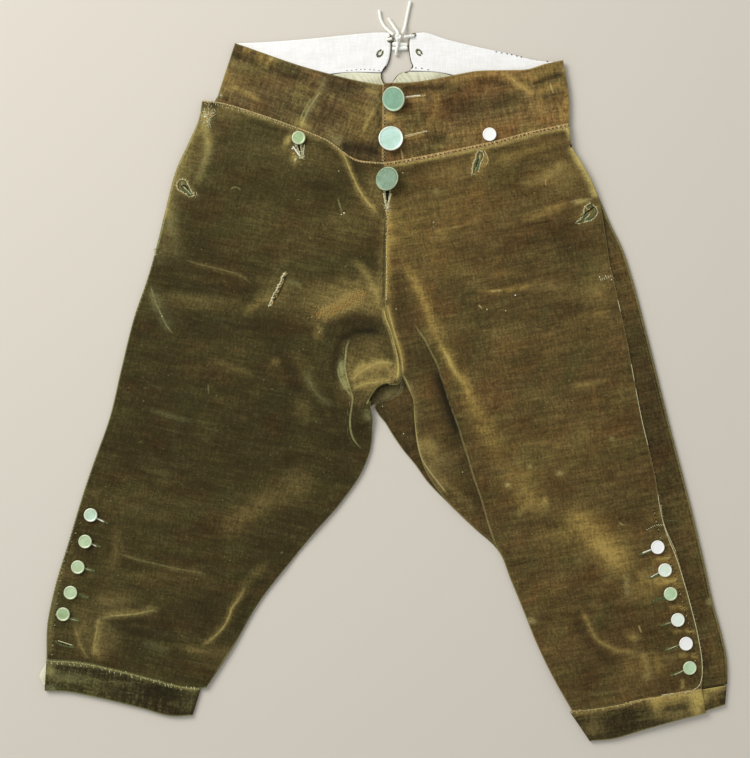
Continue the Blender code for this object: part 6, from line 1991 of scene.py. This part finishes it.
    def wear_open(self, hole: WornHole) -> None:
        """A hole worn open: matted threads from lip to lip, the thick lips and a dark strand in the slit as
        painted shade.

        Args:
            hole: its lips, its slit and its loose edge.
        """
        left, right = (smooth_curve(line, 30) for line in (hole.left, hole.right))
        for k, share in enumerate(np.linspace(0.1, 0.9, 7)):
            first, last = self.random.integers(0, 9), self.random.integers(17, 29)
            matted = (left * (1 - share) + right * share)[first:last]
            matted = matted + self.random.normal(0, 0.16, matted.shape)
            radii = self.random.uniform(0.3, 0.62, (1, len(matted)))
            self.strand((GREEN, OLIVE, GREEN, PALE)[k % 4], matted, 0.15, radii)
        for lip, way in ((left, -1), (right, 1)):
            for shift, kind in ((0.0, PALE), (0.6, GOLD), (-0.6, GREEN)):
                line = lip + np.array([way * shift, -abs(shift) * 0.4])
                line += self.random.normal(0, 0.14, lip.shape)
                self.strand(kind, line, 0.35, self.random.uniform(0.34, 0.66, (1, len(line))))
            self.overcast(PALE, lip, 1.5, way * 1.3, 0.32, 0.4, 0.3)
            self.overcast(OLIVE, lip, 2.1, -way * 1.3 * 0.9, 0.34, 0.4, 0.3)
        # A dark strand in the slit: painted shade.
        self.lay(DARK, hole.slit, 0.62, 0.42)
        self.lay(GOLD, hole.loose, 0.62, 0.3)
        self.fray(PALE, *hole.left[0], 4, 3.0, 0.9)

    def eyelet(self, x: float, y: float, long: float, wide: float, turn: float) -> None:
        """A lace hole: a C of close stitches, open on one side, round a dark strand in the gap, painted
        shade.
        """
        angle = np.linspace(0.5, 2 * math.pi - 0.4, 17)
        tilt = math.radians(turn)
        ring = np.stack([long * np.cos(angle), wide * np.sin(angle)], axis=1)
        ring = ring @ np.array([[math.cos(tilt), math.sin(tilt)], [-math.sin(tilt), math.cos(tilt)]])
        middle = np.array([x, y])
        paths = self.ground.on(np.stack([middle + ring * share for share in (0.5, 0.75, 1.0)], axis=1))
        paths[..., 2] += np.array([0.15, 0.35, -0.1])
        self.sew(OLIVE, paths, 0.5)
        self.strand(OLIVE, middle + ring * 0.7, 0.3, 0.6)
        gap = middle + np.linspace(-0.4, 0.4, 5)[:, None] * long * np.array([math.cos(tilt), math.sin(tilt)])
        # A dark strand in the gap: painted shade.
        self.strand(DARK, gap, -0.5, np.array([[0.1, 0.16, 0.2, 0.16, 0.1]]) * wide)

    def edges(self) -> None:
        """The overcast and stitched edges of the fall, the waistband and the knees."""
        lay, overcast, running = self.lay, self.overcast, self.running
        right, left = flat(FALL_TOP_RIGHT), flat(FALL_TOP_LEFT)
        lay(GOLD, right, 0.7, 0.0)
        overcast(GOLD, right, 1.7, 1.5, 0.4)
        overcast(PALE, right, 3.1, 1.2, 0.42)
        running(PALE, flat(FALL_TOP_RIGHT[1:4], dy=-2.6), 2.9, 1.3, 0.34, turn=80, uneven=0.3)
        lay(GOLD, left, 0.6, 0.0)
        overcast(GOLD, left, 1.3, 4.2, 0.5, 0.8)
        overcast(PALE, left, 5.7, 4.0, 0.42, 0.8)
        running(RUST, flat(left, dy=-1.9), 4.4, 1.8, 0.6, 0.55)
        lay(GOLD, ((-0.6, 330), (-0.6, 290), (-1.4, 247)), 0.5, -0.1)
        running(DARK, ((1.2, 330), (1.2, 290), (0.8, 248)), 3.8, 1.4, 0.5)
        running(PALE, ((0.4, 330), (0.4, 290), (-0.2, 248)), 3.8, 1.4, 0.34)
        lay(GOLD, ((19, 261), (20, 256), (21.4, 247)), 0.42)
        running(OLIVE, ((-40, 347), (-20, 348.5), (-1, 346.5)), 4.2, 1.3, 0.4)
        running(DARK, ((35, 350), (42, 349.6), (49, 348)), 4.4, 1.2, 0.5)
        running(DARK, ((124, 367.6), (141, 364.4), (158, 360.4), (180, 357)), 5.4, 1.5, 0.5)
        running(DARK, RIGHT_PLACKET, 4.6, 1.8, 0.34, turn=70)
        running(PALE, RIGHT_PLACKET, 11.0, 1.6, turn=40)
        lay(PALE, LEFT_PLACKET_EDGE, 0.5, -0.05)
        overcast(GOLD, LEFT_PLACKET_EDGE, 4.4, -2.0)
        running(DARK, LEFT_PLACKET, 4.6, 2.0, 0.36, turn=70)
        running(PALE, LEFT_PLACKET, 8.0, 1.6, turn=40)
        running(PALE, ((289, -157), (300, -152), (307, -152)), 2.2, 2.2, 0.36, turn=50)
        lay(PALE, flat(LEFT_SIDE[5:13]), 0.36, 0.0)
        overcast(GOLD, flat(LEFT_SIDE[5:12]), 5.2, -1.2, 0.28)
        lay(OLIVE, ((307, -148), (318, -147), (331, -150)), 0.34)
        running(PALE, ((4.4, 196), (3.8, 160), (3.2, 130), (3.4, 96)), 4.6, 1.9, 0.42, 0.3, 0.3)
        running(GOLD, ((3.4, 199), (3.0, 180), (2.6, 130), (2.8, 96)), 2.9, 1.9, 0.5, 0.3, 0.3, 20)
        lay(RUST, ((32.2, 353), (30.6, 349), (27.4, 346), (19, 344.4), (12.6, 338.4), (8.4, 331)), 0.5)
        lay(RUST, ((3.4, 353), (0, 348.6), (-2.4, 344.4), (-2.4, 339), (0.8, 332)), 0.5)

    def knees(self) -> None:
        """The frayed seams of the kneebands."""
        right, left = RIGHT_KNEE_SEAM, LEFT_KNEE_SEAM
        self.lay(OLIVE, flat(right), 0.45, -0.1)
        self.lay(GOLD, flat(left), 0.45, -0.1)
        for thread, line, drop, step in (
            (PALE, right[:-1], 0.6, 2.8), (GOLD, right[:-2], 1.8, 4.7), (OLIVE, right[:-2], 1.4, 3.1),
            (OLIVE, right[:-2], 2.4, 2.6), (PALE, right[:-2], 3.4, 7.1), (GOLD, left, 1.2, 3.7),
            (PALE, left, 2.2, 8.1), (RUST, left[3:], 3.2, 7.3),
        ):
            self.running(thread, flat(line, dy=-drop), step, 2.0, 0.4, 0.2, 0.4, 62)

    def mends(self) -> None:
        """The mended tear, the bar tacks, the frayed corner and the lint."""
        running, fray = self.running, self.fray
        line = curve_by_step(TEAR, 1.2)
        torn = np.random.default_rng(self.TEAR_SEED).normal(0, 0.5, line.shape)
        self.strand(PALE, line + torn, 0.3, 0.8)
        running(PALE, TEAR, 3.9, 2.8, 0.5, 0.4, 0.35, 58)
        running(PALE, TEAR, 3.4, 3.2, 0.5, 0.4, 0.25, 20)
        running(GOLD, flat(TEAR, 1.8, -1), 3.2, 3.0, 0.42, 0.3, 0.25, 20)
        running(PALE, ((238, 117), (245, 119), (251, 122)), 2.0, 2.6, 0.42, turn=80)
        running(PALE, ((-252, 151), (-250, 145)), 1.6, 3.0, 0.36, turn=80)
        self.overcast(PALE, flat(RIGHT_SIDE[2:8]), 5.1, -1.6, 0.26)
        self.overcast(OLIVE, flat(RIGHT_SIDE[10:15]), 3.6, -2.0, 0.34)
        for x, y, count in ((-193, 300, 20), (-195, 294, 16), (-192, 290, 8), (-190, 306, 8)):
            fray(PALE, x, y, count, 4.6, 2.0)
        for thread, radius, start, end in STRANDS_AND_SLIT_HIGHLIGHTS:
            self.lay(thread, (start, end), radius, 0.4)
        for row in DOTS:
            self.dot(*row)
        for x, y in curve_by_step(ORANGE_RUB, 2.6):
            fray(AMBER, x, y, 6, 2.4, 2.8)
            fray(GOLD, x, y, 1, 2.6, 4.0)
        for x, y, count in ((-193, 298, 18), (3, 196, 14), (-120, 96, 6), (13, 14, 6)):
            fray(GOLD, x, y, count, 5.0, 1.6)
        fray(PALE, 4, 194, 12, 3.4, 1.3)

    def build(self) -> None:
        """Work everything and make one mesh for each kind of thread."""
        self.edges()
        self.knees()
        self.mends()
        for row in HOLES:
            self.work(Hole(*row))
        for hole in WORN_HOLES:
            self.wear_open(hole)
        for row in EYELETS:
            self.eyelet(*row)
        for kind, batches in self.batches.items():
            points, faces, start = [], [], 0
            for paths, radius in batches:
                more, corners = tubes(paths, radius)
                faces += [[i + start for i in face] for face in corners]
                points.append(more)
                start += len(more)
            name, finish = f"stitching_{kind.name.lower()}", kind.value.material()
            item = new_mesh(name, np.concatenate(points), faces, finish)
            ride(item, "linen" if kind is WHITE else "velvet")


@dataclass
class Lace:
    """The plaited cotton lace: its crossings, its knot and its three free ends."""

    diameter: float = LACE_DIAMETER
    sides: int = 20
    step: float = 0.45
    pitch: float = 7.0       # along the lace, for one turn of a plait
    crossing: float = 4.6    # the two crossings over the gap, which are slack and spread
    drawn: float = 0.94      # of the diameter, where the lace is drawn tight to its holes
    knot_size: Row = (0.86, 1.06, 1.3)
    knot_radius: float = 1.35
    tip: float = 0.9         # the length over which an end rounds off

    def plaited(self, route: Sequence[Row], diameter: float) -> tuple[Array, Array, list]:
        """A tube whose radius rises where two opposed helical strands cross.

        Radius is half the diameter times 0.86 + 0.14 of the higher of two waves, each
        abs(sin(2 theta plus or minus 2 pi s / pitch)), and it narrows to a rounded tip.

        Args:
            route: points that it passes through.
            diameter: its greatest.

        Returns:
            The path, the points and the faces.
        """
        path = curve_by_step(route, self.step)
        s = np.concatenate([[0.0], np.cumsum(np.linalg.norm(np.diff(path, axis=0), axis=1))])
        points, faces = tubes(path[None], 1.0, self.sides)
        ring = points.reshape(len(path), self.sides, 3)
        theta = np.linspace(0, 2 * math.pi, self.sides, endpoint=False)[None]
        phase = 2 * math.pi * s[:, None] / self.pitch
        relief = np.maximum(np.abs(np.sin(2 * theta + phase)), np.abs(np.sin(2 * theta - phase)))
        tip = np.sqrt(np.clip(np.minimum(s, s[-1] - s) / self.tip, 0.12, 1))[:, None]
        size = diameter / 2 * (0.86 + 0.14 * relief) * tip
        ring = path[:, None] + (ring - path[:, None]) * size[..., None]
        return path, ring.reshape(-1, 3), faces

    def free_end(
        self, name: str, route: Sequence[Row], material: Material, nodes: Sequence[str],
    ) -> None:
        path, points, faces = self.plaited(route, self.diameter)
        item = ride(new_mesh(name, points, faces, material), "cotton_lace", *nodes)
        length = float(np.linalg.norm(np.diff(path, axis=0), axis=1).sum()) * MM

    def knot(self, material: Material) -> Item:
        """The knot, a trefoil: sin t + 2 sin 2t across, cos t - 2 cos 2t along, sin 3t up."""
        t = np.linspace(0, 2 * math.pi, 73)
        loops = np.stack([
            np.sin(t) + 2 * np.sin(2 * t), np.cos(t) - 2 * np.cos(2 * t), np.sin(3 * t),
        ], axis=1)
        path = KNOT + loops * self.knot_size
        points, faces = tubes(path[None], self.knot_radius, 14)
        return ride(new_mesh("lace_knot_cotton", points, faces, material), "cotton_lace", "lace_knot")

    def build(self) -> None:
        """Make the crossings, the knot and the free ends."""
        cotton = COTTON_LACE.material()
        for number, route in enumerate(LACE_CROSSINGS, start=1):
            size = self.crossing if number <= 2 else self.diameter * self.drawn
            _, points, faces = self.plaited(route, size)
            item = new_mesh(f"lace_crossing_{number}_cotton", points, faces, cotton)
            ride(item, "cotton_lace", f"lace_crossing_{number}")
        knot = self.knot(cotton)
        self.free_end("lace_short_run", LACE_SHORT_RUN, cotton, ("lace_strand", "lace_end_short"))
        self.free_end("lace_left_run", LACE_END_LEFT, cotton, ("lace_end_left",))
        self.free_end("lace_right_run", LACE_END_RIGHT, cotton, ("lace_end_right",))


@dataclass
class Studio:
    """A plain pale table top, soft light from the upper left, and the camera overhead."""

    camera: Row = (-9.35, 8.25, 1969.0)
    lens: float = 85.0
    sensor: float = 36.0
    top_side: float = 6000.0
    top_drop: float = 0.3
    sky: float = 0.5
    sky_colour: Row = (1.0, 1.0, 0.99)
    key_power: float = 58.0
    key_size: float = 1.6
    key_colour: Row = (1.0, 0.985, 0.95)
    key_at: Row = (-1.5, 1.5, 1.9)          # in metres
    key_turn: Row = (-48.0, 0.0, 45.0)      # in degrees

    def build(self) -> None:
        """Make the table top, the light and the camera."""
        card = Look("matt_card", {"Base Color": linear("#d9d3c8"), "Roughness": 0.95}).material
        half = self.top_side / 2
        corners = np.array([(-half, -half, 0), (half, -half, 0), (half, half, 0), (-half, half, 0)])
        new_mesh("table_top", corners - (0, 0, self.top_drop), [(0, 1, 2, 3)], card)

        scene = bpy.context.scene
        scene.world = bpy.data.worlds.new("soft_studio")
        scene.world.use_nodes = True
        background = scene.world.node_tree.nodes["Background"]
        background.inputs["Color"].default_value = (*self.sky_colour, 1.0)
        background.inputs["Strength"].default_value = self.sky
        scene.view_settings.view_transform = "Standard"

        key = bpy.data.lights.new("soft_key", "AREA")
        key.energy, key.size, key.color = self.key_power, self.key_size, self.key_colour
        lamp = bpy.data.objects.new("soft_key", key)
        lamp.location = self.key_at
        lamp.rotation_euler = [math.radians(angle) for angle in self.key_turn]
        view = bpy.data.cameras.new("overhead")
        view.lens, view.sensor_width = self.lens, self.sensor
        camera = bpy.data.objects.new("overhead", view)
        camera.location = [value * MM for value in self.camera]
        for item in (lamp, camera):
            scene.collection.objects.link(item)
        scene.camera = camera


def main() -> None:
    """Build the studio, then the garment in order from the table up."""
    logging.basicConfig(level=logging.INFO, format="%(name)s: %(message)s")
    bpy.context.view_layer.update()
    ground = Ground()
    Studio().build()
    for part in (Backs(), BackWaistband(), SeatLining(), FrontWaistband(), Kneebands(), Fronts()):
        part.build(ground)
    Handwork(ground).build()
    Lace().build()
    Buttons().build()


if __name__ == "__main__":
    main()
